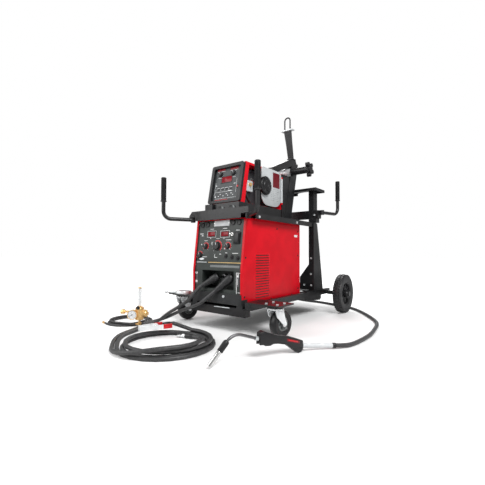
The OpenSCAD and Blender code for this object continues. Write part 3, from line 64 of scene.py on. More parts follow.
def makeCamera():
    made = addObject("camera", bpy.data.cameras.new("camera"))
    made.data.lens = camera["focal"]
    made.data.sensor_width = camera["sensor"]
    made.data.clip_end = camera["reach"]
    made.location = at(*camera["place"])
    turn = Matrix()
    for axis, angle in (("Z", camera["yaw"]), ("X", 90 + camera["pitch"]), ("Z", camera["roll"])):
        turn = turn @ Matrix.Rotation(math.radians(angle), 4, axis)
    made.rotation_euler = turn.to_euler()
    bpy.context.scene.camera = made
    bpy.context.scene.view_settings.view_transform = "Standard"


class Wire:  # a shader socket that takes sums and products
    def __init__(self, shader, output):
        self.shader = shader
        self.output = output

    def maths(self, operation, *values):
        return self.shader.node("ShaderNodeMath", {"operation": operation}, dict(enumerate(values)))

    def __add__(self, other):
        return self.maths("ADD", self, other)

    def __sub__(self, other):
        return self.maths("SUBTRACT", self, other)

    def __rsub__(self, other):
        return self.maths("SUBTRACT", other, self)

    def __mul__(self, other):
        return self.maths("MULTIPLY", self, other)

    __radd__ = __add__
    __rmul__ = __mul__

    def step(self, low, high):  # 0 below low, 1 above high
        settings = {"interpolation_type": "SMOOTHSTEP"}
        return self.shader.node("ShaderNodeMapRange", settings,
                                {"Value": self, "From Min": low, "From Max": high})


class Shader:
    def __init__(self, name, tree=None):
        if tree is None:
            self.material = bpy.data.materials.new(name)
            self.material.use_nodes = True
            tree = self.material.node_tree
        self.tree = tree
        self.tree.nodes.clear()

    def node(self, kind, settings=None, sockets=None, out=0):
        made = self.tree.nodes.new(kind)
        for name, value in (settings or {}).items():
            setattr(made, name, value)
        for name, value in (sockets or {}).items():
            if isinstance(value, Wire):
                self.tree.links.new(value.output, made.inputs[name])
            else:
                if isinstance(value, tuple) and len(value) == 3 and made.inputs[name].type == "RGBA":
                    value = (*value, 1)
                made.inputs[name].default_value = value
        return Wire(self, made.outputs[out]) if made.outputs else None

    def place(self):  # the piece's own coordinates, in metres
        return self.node("ShaderNodeTexCoord", out=3)

    def noise(self, scale, detail=3, rough=0.55, vector=None):
        sockets = {"Vector": vector or self.place(), "Scale": scale, "Detail": detail, "Roughness": rough}
        return self.node("ShaderNodeTexNoise", None, sockets)

    def mix(self, factor, first, second):
        return self.node("ShaderNodeMix", {"data_type": "RGBA"}, {0: factor, 6: first, 7: second}, out=2)

    def bump(self, height, strength, distance):
        return self.node("ShaderNodeBump", None,
                         {"Height": height, "Strength": strength, "Distance": distance})

    def surface(self, **sockets):
        names = {name.replace("_", " "): value for name, value in sockets.items()}
        body = self.node("ShaderNodeBsdfPrincipled", None, names)
        self.node("ShaderNodeOutputMaterial", None, {"Surface": body})
        return self.material


# the floor turns from paint to plain white between the two distances, in metres
floor = {"half": 30, "tone": (0.86, 0.86, 0.86), "paintTo": 0.55, "whiteFrom": 1.7, "farGlow": 0.8,
         "nearGlow": 0.04}


def makeFloor():
    mesh = bmesh.new()
    bmesh.ops.create_grid(mesh, x_segments=1, y_segments=1, size=floor["half"])
    data = bpy.data.meshes.new("floor")
    mesh.to_mesh(data)
    mesh.free()
    shader = Shader("floorPaint")
    seen = shader.node("ShaderNodeLightPath", out=0)
    lit = shader.node("ShaderNodeBsdfDiffuse", None, {"Color": floor["tone"]})
    reach = shader.node("ShaderNodeVectorMath", {"operation": "LENGTH"}, {0: shader.place()}, out=1)
    far = reach.step(floor["paintTo"], floor["whiteFrom"])
    strength = seen * (far * floor["farGlow"] + floor["nearGlow"])
    glow = shader.node("ShaderNodeEmission", None, {"Color": (1, 1, 1), "Strength": strength})
    both = shader.node("ShaderNodeAddShader", None, {0: lit, 1: glow})
    shader.node("ShaderNodeOutputMaterial", None, {"Surface": both})
    data.materials.append(shader.material)
    addObject("floor", data)


sky = {"light": 0.35, "behind": 0.65, "gloss": 0.1}  # behind is added where the camera looks at the sky
lamps = {
    "key": {"place": (2300, -900, 2600), "aim": (0, 300, 500), "size": 1.3, "power": 105},
    "fill": {"place": (-1700, -2600, 2000), "aim": (0, 0, 500), "size": 2.2, "power": 62},
    "back": {"place": (-900, 2900, 2700), "aim": (0, 500, 500), "size": 1.8, "power": 55},
}


def makeLight():
    world = bpy.data.worlds.new("studio")
    bpy.context.scene.world = world
    world.use_nodes = True
    shader = Shader("studio", world.node_tree)
    seen, glossy, through = (shader.node("ShaderNodeLightPath", out=i) for i in (0, 3, 6))
    strength = (seen + through).step(0, 1) * sky["behind"] + sky["light"] + glossy * sky["gloss"]
    light = shader.node("ShaderNodeBackground", None, {"Color": (1, 1, 1), "Strength": strength})
    shader.node("ShaderNodeOutputWorld", None, {"Surface": light})
    for name, lamp in lamps.items():
        data = bpy.data.lights.new(name, "AREA")
        data.energy = lamp["power"]
        data.size = lamp["size"]
        made = addObject(name, data)
        made.location = at(*lamp["place"])
        made.rotation_euler = (at(*lamp["aim"]) - made.location).to_track_quat("-Z", "Y").to_euler()


makeCamera()
makeFloor()
makeLight()
print("camera, floor and light placed")


# paints, metals, plastics and rubbers
def paint(name, colour, rough, coat, grain, depth, fade, metal=0.0, shine=0.25):
    shader = Shader(name)
    cloud = shader.noise(9, 4)
    fine = shader.noise(grain, 2)
    dark = tuple(c * (1 - fade) for c in colour)
    light = tuple(min(1, c * (1 + fade) + fade * 0.01) for c in colour)
    tint = shader.mix(cloud.step(0.35, 0.65), dark, light)
    return shader.surface(
        Base_Color=tint, Roughness=cloud * 0.12 + (rough - 0.06), Metallic=metal, Coat_Weight=coat,
        Coat_Roughness=0.12, Specular_IOR_Level=shine, Normal=shader.bump(fine, depth, 0.0006))


def brushed(name, colour, rough, along=(1, 1, 60), scratch=0.15):
    shader = Shader(name)
    lines = shader.node("ShaderNodeMapping", None, {"Vector": shader.place(), "Scale": along})
    streak = shader.noise(26, 4, 0.6, lines)
    cloud = shader.noise(14, 3)
    dull = tuple(c * 0.72 for c in colour)
    tint = shader.mix(cloud.step(0.3, 0.75), colour, dull)
    return shader.surface(
        Base_Color=tint, Metallic=1.0, Roughness=streak * 0.22 + (rough - 0.1),
        Normal=shader.bump(streak, scratch, 0.0004))


def moulded(name, colour, rough, grain=1500, depth=0.25):
    shader = Shader(name)
    fine = shader.noise(grain, 2, 0.5)
    cloud = shader.noise(18, 3)
    worn = tuple(min(1, c * 1.7 + 0.012) for c in colour)
    tint = shader.mix(cloud.step(0.5, 0.8) * 0.6, colour, worn)
    return shader.surface(
        Base_Color=tint, Roughness=fine * 0.15 + (rough - 0.06), Specular_IOR_Level=0.35,
        Normal=shader.bump(fine, depth, 0.0004))


def jacket(name, colour, rough):  # rubber with a fine talc bloom
    shader = Shader(name)
    bloom = shader.noise(70, 5, 0.7)
    grain = shader.noise(2200, 2)
    pale = tuple(c * 1.9 + 0.012 for c in colour)
    tint = shader.mix(bloom.step(0.4, 0.8), colour, pale)
    return shader.surface(
        Base_Color=tint, Roughness=bloom * 0.25 + (rough - 0.1), Normal=shader.bump(grain, 0.2, 0.0003))


def clear(name, tint, smeared):
    shader = Shader(name)
    smear = shader.noise(60, 3)
    return shader.surface(
        Base_Color=shader.mix(smear, tint, smeared), Roughness=smear * 0.05 + 0.03, Alpha=0.35, IOR=1.45,
        Coat_Weight=0.6)


def display(name, glow, dark):  # lens over unlit and lit segments
    shader = Shader(name)
    cells = shader.node("ShaderNodeTexBrick", {"offset": 0.0}, {
        "Vector": shader.place(), "Scale": 60.0, "Color1": (1, 1, 1), "Color2": (0.55, 0.55, 0.55),
        "Mortar": (0, 0, 0), "Mortar Size": 0.06, "Brick Width": 0.5, "Row Height": 0.9})
    return shader.surface(
        Base_Color=shader.mix(cells, dark, glow), Roughness=shader.noise(40) * 0.1 + 0.12,
        Specular_IOR_Level=0.2, Emission_Color=glow, Emission_Strength=0.2)


finishTable = {
    # colour, roughness, coat, grain, its depth, fading, metal, shine
    "redPaint": (paint, (0.55, 0.002, 0.010), 0.32, 0.05, 420, 0.05, 0.06, 0.0, 0.14),
    # lighter red for the louvre hoods' ends: a painted highlight where the ends catch light
    "edgeRed": (paint, (0.68, 0.035, 0.05), 0.3, 0.1, 420, 0.05, 0.06),
    "blackPowder": (paint, (0.009, 0.009, 0.010), 0.34, 0.0, 1300, 0.2, 0.25, 0.0, 0.4),
    "panelPaint": (paint, (0.030, 0.036, 0.033), 0.42, 0.1, 1300, 0.15, 0.15),
    "panPaint": (paint, (0.022, 0.023, 0.024), 0.45, 0.0, 1200, 0.2, 0.2),
    "zincPlate": (paint, (0.62, 0.65, 0.66), 0.3, 0.1, 500, 0.05, 0.06, 0.45, 0.5),
    "paleZinc": (paint, (0.84, 0.86, 0.87), 0.3, 0.1, 500, 0.05, 0.06, 0.2, 0.5),
    "silverCoat": (paint, (0.50, 0.52, 0.53), 0.36, 0.2, 1100, 0.1, 0.06, 0.25),
    "castAlloy": (paint, (0.05, 0.05, 0.055), 0.45, 0.0, 260, 0.3, 0.15, 0.3),
    "brassMetal": (paint, (0.78, 0.50, 0.20), 0.3, 0.1, 500, 0.05, 0.08, 0.6, 0.5),
    "coreIron": (paint, (0.10, 0.09, 0.085), 0.6, 0.0, 300, 0.3, 0.2, 0.5),
    # colour, roughness, stretch of the streaks, their depth
    "brightSteel": (brushed, (0.74, 0.74, 0.73), 0.22, (1, 1, 30), 0.06),
    "darkSteel": (brushed, (0.16, 0.16, 0.165), 0.34),
    "copperWire": (brushed, (0.55, 0.24, 0.12), 0.35),
    "goldStripe": (brushed, (0.62, 0.44, 0.20), 0.35),
    # colour, roughness, grain, its depth
    "blackPlastic": (moulded, (0.008, 0.008, 0.009), 0.36),
    "softGrip": (moulded, (0.007, 0.007, 0.008), 0.55, 900, 0.4),
    "panelFilm": (moulded, (0.040, 0.044, 0.046), 0.38, 1800, 0.1),
    "greyPlastic": (moulded, (0.16, 0.17, 0.17), 0.45),
    "whitePlate": (moulded, (0.66, 0.68, 0.69), 0.4, 900, 0.1),
    "palePlastic": (moulded, (0.62, 0.64, 0.65), 0.3, 900, 0.1),
    "redPlastic": (moulded, (0.52, 0.012, 0.016), 0.32, 900, 0.1),
    "deepRed": (moulded, (0.12, 0.003, 0.008), 0.4, 900, 0.1),
    "markInk": (moulded, (0.78, 0.79, 0.79), 0.5, 900, 0.05),
    # colour, roughness
    "cableJacket": (jacket, (0.030, 0.030, 0.031), 0.45),
    "bootRubber": (jacket, (0.009, 0.009, 0.010), 0.42),
    "wheelRubber": (jacket, (0.010, 0.010, 0.011), 0.5),
    # both tints
    "clearTube": (clear, (0.93, 0.95, 0.96), (0.86, 0.88, 0.9)),
    "litDisplay": (display, (0.22, 0.004, 0.01), (0.10, 0.004, 0.008)),
}
finishes = {name: make(name, *values) for name, (make, *values) in finishTable.items()}
print(len(finishes), "finishes made")


# places; every size from here on is in millimetres
def frameOf(place, out, up=(0, 0, 1)):  # x, y on a surface, z out of it
    zAxis = Vector(out).normalized()
    xAxis = Vector(up).cross(zAxis).normalized()
    turn = Matrix((xAxis, zAxis.cross(xAxis), zAxis)).transposed().to_4x4()
    return Matrix.Translation(Vector(place) / 1000) @ turn


def sideOf(x, y, z, side=1):
    return frameOf((side * x, y, z), (side, 0, 0))


def frontOf(x, y, z):
    return frameOf((x, y, z), (0, -1, 0))


def moved(place, x=0, y=0, z=0):
    return place @ Matrix.Translation(Vector((x, y, z)) / 1000)


def turned(place, angle, axis="Z"):
    return place @ Matrix.Rotation(math.radians(angle), 4, axis)


def around(place, count):  # the place turned about its own z, count times
    return [turned(place, 360 * i / count) for i in range(count)]


# outlines and profiles; a profile's points are (radius, height)
def roundOutline(wide, high, corner, parts=6):  # one radius, or one for each corner
    corners = corner if isinstance(corner, tuple) else (corner,) * 4
    points = []
    for (sx, sy), radius, start in zip(((1, 1), (-1, 1), (-1, -1), (1, -1)), corners, (0, 90, 180, 270)):
        x, y = sx * (wide / 2 - radius), sy * (high / 2 - radius)
        for i in range(parts + 1):
            a = math.radians(start + 90 * i / parts)
            points.append((x + radius * math.cos(a), y + radius * math.sin(a)))
    return points


def disc(radius, low, high):
    return [(0, low), (radius, low), (radius, high), (0, high)]


def ringOf(inner, outer, low, high):
    return [(inner, low), (outer, low), (outer, high), (inner, high)]


def stub(radius, top, low, shoulder, high):  # a disc with a chamfered top
    return [(0, low), (radius, low), (radius, shoulder), (top, high), (0, high)]


def tyreProfile(wall, radius, half, drop):  # walls on both sides of a crown that bends through 120 degrees
    crown = [(radius - half * drop * (1 - math.cos(math.radians(a))),
              half * math.sin(math.radians(a)) / 0.866)
             for a in range(-60, 61, 10)]
    return wall + crown + [(r, -z) for r, z in reversed(wall)]


# shapes added to a mesh
def roundEdges(mesh, verts, round, steps):
    edges = list({edge for vert in verts for edge in vert.link_edges})
    bmesh.ops.bevel(
        mesh, geom=edges, offset=round / 1000, offset_type="OFFSET", segments=steps, profile=0.5,
        affect="EDGES", material=-1)


def addBlock(mesh, low, high, place=Matrix(), round=0.0, steps=2):
    size = [(b - a) / 1000 for a, b in zip(low, high)]
    middle = Vector([(a + b) / 2000 for a, b in zip(low, high)])
    whole = place @ Matrix.Translation(middle) @ Matrix.Diagonal((*size, 1))
    made = bmesh.ops.create_cube(mesh, size=1, matrix=whole)["verts"]
    if round:
        roundEdges(mesh, made, round, steps)


def addPlate(mesh, wide, high, thick, place, round=0.0, steps=2):  # a block centred on its place
    addBlock(mesh, (-wide / 2, -high / 2, 0), (wide / 2, high / 2, thick), place, round, steps)


def addBars(mesh, w, h, gap, thick, place, round):  # four bars round a window of half sizes w and h
    for low, high in (((-w - 6, h), (w + 6, h + 5)), ((-w - 6, -h - 5), (w + 6, -h)),
                      ((-w - 6, -h - 1), (-w - gap, h + 1)), ((w + gap, -h - 1), (w + 6, h + 1))):
        addBlock(mesh, (*low, 0), (*high, thick), place, round, 1)


def addTurned(mesh, profile, place=Matrix(), steps=32, closed=None):
    if closed is None:  # a profile that reaches the axis stays open
        closed = profile[0][0] > 0 and profile[-1][0] > 0
    verts = [mesh.verts.new((r / 1000, 0, z / 1000)) for r, z in profile]
    edges = [mesh.edges.new(pair) for pair in zip(verts, verts[1:])]
    if closed:
        edges.append(mesh.edges.new((verts[-1], verts[0])))
    before = set(mesh.verts) - set(verts)
    bmesh.ops.spin(
        mesh, geom=verts + edges, cent=(0, 0, 0), axis=(0, 0, 1), angle=math.tau, steps=steps, use_merge=True,
        use_duplicate=False)
    made = [vert for vert in mesh.verts if vert not in before]
    bmesh.ops.remove_doubles(mesh, verts=made, dist=1e-6)
    made = [vert for vert in mesh.verts if vert not in before]
    faces = list({face for vert in made for face in vert.link_faces})
    bmesh.ops.recalc_face_normals(mesh, faces=faces)
    bmesh.ops.transform(mesh, matrix=place, verts=made)


def addRod(mesh, first, last, radius, cap=0.0, steps=20):
    axis = Vector(last) - Vector(first)
    up = (1, 0, 0) if abs(axis.normalized().z) > 0.95 else (0, 0, 1)
    profile = [(0, 0), (radius - cap, 0), (radius, cap), (radius, axis.length - cap),
               (radius - cap, axis.length), (0, axis.length)]
    addTurned(mesh, profile, frameOf(first, axis, up), steps)


def addPrism(mesh, outline, low, high, place=Matrix(), round=0.0, steps=2):
    verts = [mesh.verts.new(place @ Vector((x / 1000, y / 1000, low / 1000))) for x, y in outline]
    grown = bmesh.ops.extrude_face_region(mesh, geom=[mesh.faces.new(verts)])["geom"]
    raised = [item for item in grown if isinstance(item, bmesh.types.BMVert)]
    lift = place.to_3x3() @ Vector((0, 0, (high - low) / 1000))
    bmesh.ops.translate(mesh, vec=lift, verts=raised)
    faces = list({face for vert in verts + raised for face in vert.link_faces})
    bmesh.ops.recalc_face_normals(mesh, faces=faces)
    if round:
        roundEdges(mesh, verts + raised, round, steps)


def addArc(mesh, place, inner, outer, first, last, height, parts=28):  # angles run clockwise from the top
    for i in range(parts):
        a, b = (math.radians(90 - (first + (last - first) * k / parts)) for k in (i, i + 1))
        outline = [(inner * math.cos(a), inner * math.sin(a)), (outer * math.cos(a), outer * math.sin(a)),
                   (outer * math.cos(b), outer * math.sin(b)), (inner * math.cos(b), inner * math.sin(b))]
        addPrism(mesh, outline, 0, height, place)
    bmesh.ops.remove_doubles(mesh, verts=mesh.verts, dist=2e-6)
    inside = [f for f in mesh.faces if all(len(e.link_faces) > 2 for e in f.edges)]
    bmesh.ops.delete(mesh, geom=inside, context="FACES")


def addTicks(mesh, place, inner, outer, first, last, count, wide=0.9):
    for i in range(count):
        tick = turned(place, -(first + (last - first) * i / (count - 1)))
        addBlock(mesh, (-wide / 2, inner, 0), (wide / 2, outer, markHigh), tick)


def pullRing(mesh, edges, shift):  # draws an open ring of edges out into a tube
    grown = bmesh.ops.extrude_edge_only(mesh, edges=edges)["geom"]
    bmesh.ops.translate(mesh, vec=shift,
                        verts=[item for item in grown if isinstance(item, bmesh.types.BMVert)])
    return [item for item in grown if isinstance(item, bmesh.types.BMEdge)]


def finishPiece(name, mesh, finish, body="cart", node=None, smooth=35):
    data = bpy.data.meshes.new(name)
    bmesh.ops.translate(mesh, vec=origin, verts=mesh.verts)
    mesh.to_mesh(data)
    mesh.free()
    piece = addObject(name, data)
    data.materials.append(finishes[finish])
    if smooth:
        data.shade_smooth()
        data.set_sharp_from_angle(angle=math.radians(smooth))
    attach(piece, body)
    if node:
        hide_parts(node)


# each shape: its function and values
def makePiece(name, finish, shapes, body="cart", node=None, smooth=35):
    mesh = bmesh.new()
    for shape, *values in shapes:
        shape(mesh, *values)
    finishPiece(name, mesh, finish, body, node, smooth)


# lines of points for cables, hoses and rods
def curvePoint(a, b, c, d, t):
    bend, twist = 2 * a - 5 * b + 4 * c - d, 3 * b - a - 3 * c + d
    return 0.5 * (2 * b + (c - a) * t + bend * t * t + twist * t * t * t)


def smoothRoute(points, steps=6):
    points = [Vector(p) for p in points]
    last = len(points) - 1
    route = []
    for i in range(last):
        count = 1 if i in (0, last - 1) else steps
        near = points[max(i - 1, 0)], points[i], points[i + 1], points[min(i + 2, last)]
        route += [curvePoint(*near, k / count) for k in range(count)]
    return route + [points[-1]]


def easeStep(t):
    t = max(0, min(1, t))
    return t * t * (3 - 2 * t)


def ringPoint(centre, radius, angle, height):
    turn = math.radians(angle)
    return Vector((centre[0] + radius * math.cos(turn), centre[1] + radius * math.sin(turn), height))


# a coil in two layers: turns inward on the floor, one half turn up, then turns outward on top
def piledLoops(coil, thick):
    low = 360 * coil["inward"]
    whole = low + 180 + coil["outward"]
    count = math.ceil(whole / 15)
    points = []
    for i in range(count + 1):
        t = whole * i / count
        radius = coil["radius"] - coil["pitch"] / 360 * (min(t, low) - max(0, t - low - 180))
        height = floorGap(thick) + (thick + 1) * easeStep((t - low) / 180)
        points.append(ringPoint(coil["pile"], radius, coil["start"] + t, height))
    return points


def floorGap(thick):
    return thick / 2 + 0.1


def leadOut(ends, thick):
    first, last = Vector(ends[0]), Vector(ends[1])
    return [last, last + thick * (last - first).normalized()]


def lookup(t, stops):
    for (a, u), (b, v) in zip(stops, stops[1:]):
        if t <= b:
            return u + (v - u) * (t - a) / (b - a)
    return stops[-1][1]


def flatRoute(points, height):
    return [Vector((x, y, height)) for x, y in points]


def addLine(name, route, radius, finish):
    curve = bpy.data.curves.new(name, "CURVE")
    curve.dimensions = "3D"
    curve.bevel_depth = radius / 1000
    curve.bevel_resolution = 4
    curve.use_fill_caps = True
    spline = curve.splines.new("POLY")
    spline.points.add(len(route) - 1)
    for point, place in zip(spline.points, route):
        point.co = (*at(*place), 1)
    spline.use_smooth = True
    curve.materials.append(finishes[finish])
    return addObject(name, curve)


def makeRod(name, route, radius, finish):
    rod = addLine(name, route, radius, finish)
    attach(rod, "cart")


def makeCord(name, route, thick, replaced):
    cord = addLine(name, route, thick / 2, "cableJacket")
    length = sum((b - a).length for a, b in zip(route, route[1:])) / 1000
    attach(cord, "cart")
    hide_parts(*replaced)
    print(name, "is", round(length, 2), "m long")


# both welding cables leave their boots, cross the floor and end in one coil
weldCable = {
    "thick": 21,
    "workBoot": ((-20, 26, 318), (-98, -14, 268)),
    "workDrop": [(-142, -34, 228), (-170, -43, 190), (-222, -50, 151), (-292, -67, 107), (-345, -86, 73),
                 (-395, -98, 36), (-425, -118, 14)],
    "workFloor": [(-418, -160), (-392, -205), (-365, -250), (-333, -326), (-290, -430), (-230, -500),
                  (-165, -549)],
    "workTail": [(-70, -186, 41), (-112, -208, 54), (-127, -221.8, 61.5), (-130.8, -243.5, 61.5)],
    "coil": {"pile": (40, -393), "radius": 243, "pitch": 25, "inward": 1.5, "outward": 230, "start": 235},
    "electrodeBoot": ((92, 26, 318), (14, -17, 242)),
    "electrodeDrop": [(-28, -40, 203), (-80, -52, 163), (-169, -56, 126), (-245, -58, 99), (-315, -60, 70),
                      (-380, -66, 41), (-435, -86, 19)],
    "electrodeFloor": [(-452, -125), (-438, -171), (-414, -216), (-388, -260), (-354, -335), (-309, -443),
                       (-246, -517), (-178, -568), (-112, -611)],
    # radius and height along the electrode cable's turn over the coil, by degrees
    "overRadius": [(0, 266), (40, 258), (75, 231), (110, 222), (135, 196), (150, 182), (188, 181)],
    "overHeight": [(0, 10.6), (15, 17), (60, 48), (75, 54.5), (135, 54.5), (150, 46), (175, 18), (188, 13.6)],
    "overStart": 240,
    "lugPlace": Vector((40, -227.5, 13.5)),
    "lugWay": Vector((-21, -7, 0)).normalized(),
}
gasHose = {"thick": 13, "barb": 25, "start": (-672, -340), "startWay": Vector((13, -2, 0)),
           "lead": [(-505, -297), (-478, -285)],
           "coil": {"pile": (-608, -200), "radius": 148, "pitch": 15.5, "inward": 2, "outward": 218,
                    "start": 262}}
regulator = {"place": Vector((-426, -247, 0)), "way": Vector((0.783, 0.622, 0)),
             "side": Vector((0.622, -0.783, 0))}
gunCable = {"thick": 22, "guardStart": Vector((600, -52, 29)), "guardLong": 190,
            "guardWay": Vector((123, 157, -13)).normalized(), "plugWay": Vector((-0.866, -0.5, 0)),
            "floor": [(777, 281), (779, 444), (758, 614), (735, 737), (688, 858), (571, 1040), (452, 1189),
                      (358, 1267), (211, 1330), (42, 1383), (-114, 1395), (-240, 1440)],
            "coil": {"pile": (-380, 1335), "radius": 143.5, "pitch": 27, "inward": 1.25, "outward": 120,
                     "start": 90}}
hoseUp = gasHose["thick"] * 1.5 + 1.1  # centre line of the coil's upper layer
hoseStart = Vector((*gasHose["start"], floorGap(gasHose["thick"])))


def electrodeArc(t):
    radius = lookup(t, weldCable["overRadius"])
    return ringPoint(weldCable["coil"]["pile"], radius, weldCable["overStart"] + t,
                     lookup(t, weldCable["overHeight"]))


def layWeldCables():
    thick = weldCable["thick"]
    low = floorGap(thick)
    loops = piledLoops(weldCable["coil"], thick)
    route = leadOut(weldCable["workBoot"], thick) + weldCable["workDrop"]
    route += flatRoute(weldCable["workFloor"], low) + [loops[0]]
    coiled = loops + [Vector(p) for p in weldCable["workTail"]]
    makeCord("workCable", smoothRoute(route)[:-1] + coiled, thick, ["work_cable", "work_coil"])
    lug, way = weldCable["lugPlace"], weldCable["lugWay"]
    route = leadOut(weldCable["electrodeBoot"], thick) + weldCable["electrodeDrop"]
    route = smoothRoute(route + flatRoute(weldCable["electrodeFloor"], low) + [electrodeArc(0)])
    route += [electrodeArc(t) for t in range(12, 189, 12)] + [Vector((84, -218, 13.5)), lug - 22 * way, lug]
    makeCord("electrodeCable", route, thick, ["electrode_cable"])


def layGasHose():
    thick = gasHose["thick"]
    barbEnd = regulator["place"] - gasHose["barb"] * regulator["way"] + Vector((0, 0, hoseUp))
    route = [hoseStart, hoseStart + gasHose["startWay"]] + piledLoops(gasHose["coil"], thick)
    route += flatRoute(gasHose["lead"], hoseUp) + [barbEnd - thick * regulator["way"], barbEnd]
    makeCord("gasHose", route[::-1], thick, ["gas_hose"])


def layGunCable():
    thick = gunCable["thick"]
    loops = piledLoops(gunCable["coil"], thick)
    guardEnd = gunCable["guardStart"] + gunCable["guardLong"] * gunCable["guardWay"]
    route = [guardEnd, guardEnd + thick * gunCable["guardWay"], (762, 174, 12)]
    route += flatRoute(gunCable["floor"], floorGap(thick))
    route += [loops[0] - 32 * (loops[1] - loops[0]).normalized(), loops[0]]
    plugPlace = loops[-1] + thick * gunCable["plugWay"]
    makeCord("gunCable", smoothRoute(route)[:-1] + loops + [plugPlace], thick,
             ["gun_cable", "gun_coil"])
    return plugPlace


layWeldCables()
layGasHose()
plugPlace = layGunCable()
print("cords laid")


# which finish each CAD node wears
nodeFinishes = {
    "blackPowder": ["base_frame", "side_columns", "feeder_shelf", "cross_box", "bottle_bracket",
                    "reel_stand"],
    "redPaint": ["power_case", "feeder_case"],
    "panPaint": ["power_base"],
    "panelPaint": ["power_front", "power_rear"],
    "zincPlate": ["frame_bolts", "caster_fork_left", "caster_fork_right"],
    "silverCoat": ["drive_cover"],
    "coreIron": ["inverter_core"],
    "castAlloy": ["drive_unit"],
    "brightSteel": ["drive_roll", "idle_roll", "power_switch", "gun_neck", "clamp_lower", "clamp_upper",
                    "cable_lug"],
    "brassMetal": ["regulator_body", "hose_fitting", "gun_connector"],
    "blackPlastic": ["feeder_bezel", "cooling_fan", "spindle_hub", "cover_knob", "gun_handle", "gun_trigger",
                     "valve_knob", "output_knob", "arc_knob_left", "arc_knob_right", "mode_selector",
                     "feeder_knob_left", "feeder_knob_right", "lift_bail"],
    "panelFilm": ["feeder_panel"],
    "redPlastic": ["feeder_button", "pressure_arm"],
    "bootRubber": ["output_lugs"],
    "whitePlate": ["panel_fittings"],
    "softGrip": ["handle_front_left", "handle_front_right", "handle_rear_left", "handle_rear_right"],
    "wheelRubber": ["caster_wheel_left", "caster_wheel_right", "rear_wheel_left", "rear_wheel_right"],
}
for finish, names in nodeFinishes.items():
    for name in names:
        slots = nodes[name].data.materials
        slots.clear()
        slots.append(finishes[finish])
print("finishes on the frame's nodes")


# push handles: bent tube, ribbed rubber grip and its collar
handle = {"tube": 12.5, "eye": 17, "eyeHigh": 26, "bore": 6.06, "arm": 195, "rise": 265, "bend": 50,
          "grip": 17, "gripLong": 150, "ribs": 26}
handlePlaces = {
    "frontRight": ((230, 20, 688.7), -38, "front_handle_r", "handle_front_right"),
    "frontLeft": ((-230, 20, 688.7), -119, "front_handle_l", "handle_front_left"),
    "rearRight": ((310, 841.5, 780.7), 76, "rear_handle_r", "handle_rear_right"),
    "rearLeft": ((-310, 841.5, 780.7), 104, "rear_handle_l", "handle_rear_left"),
}


def makeHandle(name, place, turn, body, node):
    base = turned(Matrix.Translation(Vector(place) / 1000), turn)
    eye, bore, arm, rise, bend = (handle[key] for key in ("eye", "bore", "arm", "rise", "bend"))
    half = handle["eyeHigh"] / 2
    mesh = bmesh.new()
    addTurned(mesh, [(bore, -half), (eye - 1.5, -half), (eye, 1.5 - half), (eye, half - 1.5),
                     (eye - 1.5, half), (bore, half)], base)
    # tube swept along the arm, round the bend and up
    start = eye * 0.55
    ring = bmesh.ops.create_circle(
        mesh, segments=24, radius=handle["tube"] / 1000, matrix=turned(moved(base, start), 90, "Y"))["verts"]
    edges = list({edge for vert in ring for edge in vert.link_edges})
    spin = base.to_3x3()
    edges = pullRing(mesh, edges, spin @ Vector((arm - bend - start, 0, 0)) / 1000)
    swept = bmesh.ops.spin(
        mesh, geom=edges, cent=base @ (Vector((arm - bend, 0, bend)) / 1000), axis=spin @ Vector((0, -1, 0)),
        angle=math.pi / 2, steps=12, use_merge=False)["geom_last"]
    edges = [item for item in swept if isinstance(item, bmesh.types.BMEdge)]
    pullRing(mesh, edges, Vector((0, 0, rise - bend - 8)) / 1000)
    bmesh.ops.recalc_face_normals(mesh, faces=mesh.faces)
    finishPiece(name + "Tube", mesh, "blackPowder", body, node)
    radius, long, ribs = handle["grip"], handle["gripLong"], handle["ribs"]
    foot = rise - long
    outline = [(12.5, foot - 6), (radius + 2, foot - 6), (radius + 2, foot + 1), (radius - 1.5, foot + 3)]
    pitch = (long - 18) / ribs
    for i in range(ribs):
        z = foot + 5 + i * pitch
        outline += [(radius - 2.2, z), (radius, z + pitch * 0.3), (radius, z + pitch * 0.7)]
    outline += [(radius - 2.2, rise - 11), (radius, rise - 9), (radius, rise - 4), (radius - 3, rise),
                (0, rise)]
    makePiece(name + "Grip", "softGrip", [(addTurned, outline, moved(base, arm))], body,
              smooth=25)


for name, values in handlePlaces.items():
    makeHandle(name, *values)
print("handles made")


# rear wheels: treaded tyre on a moulded rim
rearWheel = {"place": (385, 1068), "radius": 152, "wide": 64, "rim": 90, "spokes": 10, "hub": 28,
             "bore": 10.06, "lugs": 40, "lugHigh": 4.2, "lugLong": 12, "lugWide": 15, "lugRow": 19.5,
             "lugLean": 0.3}


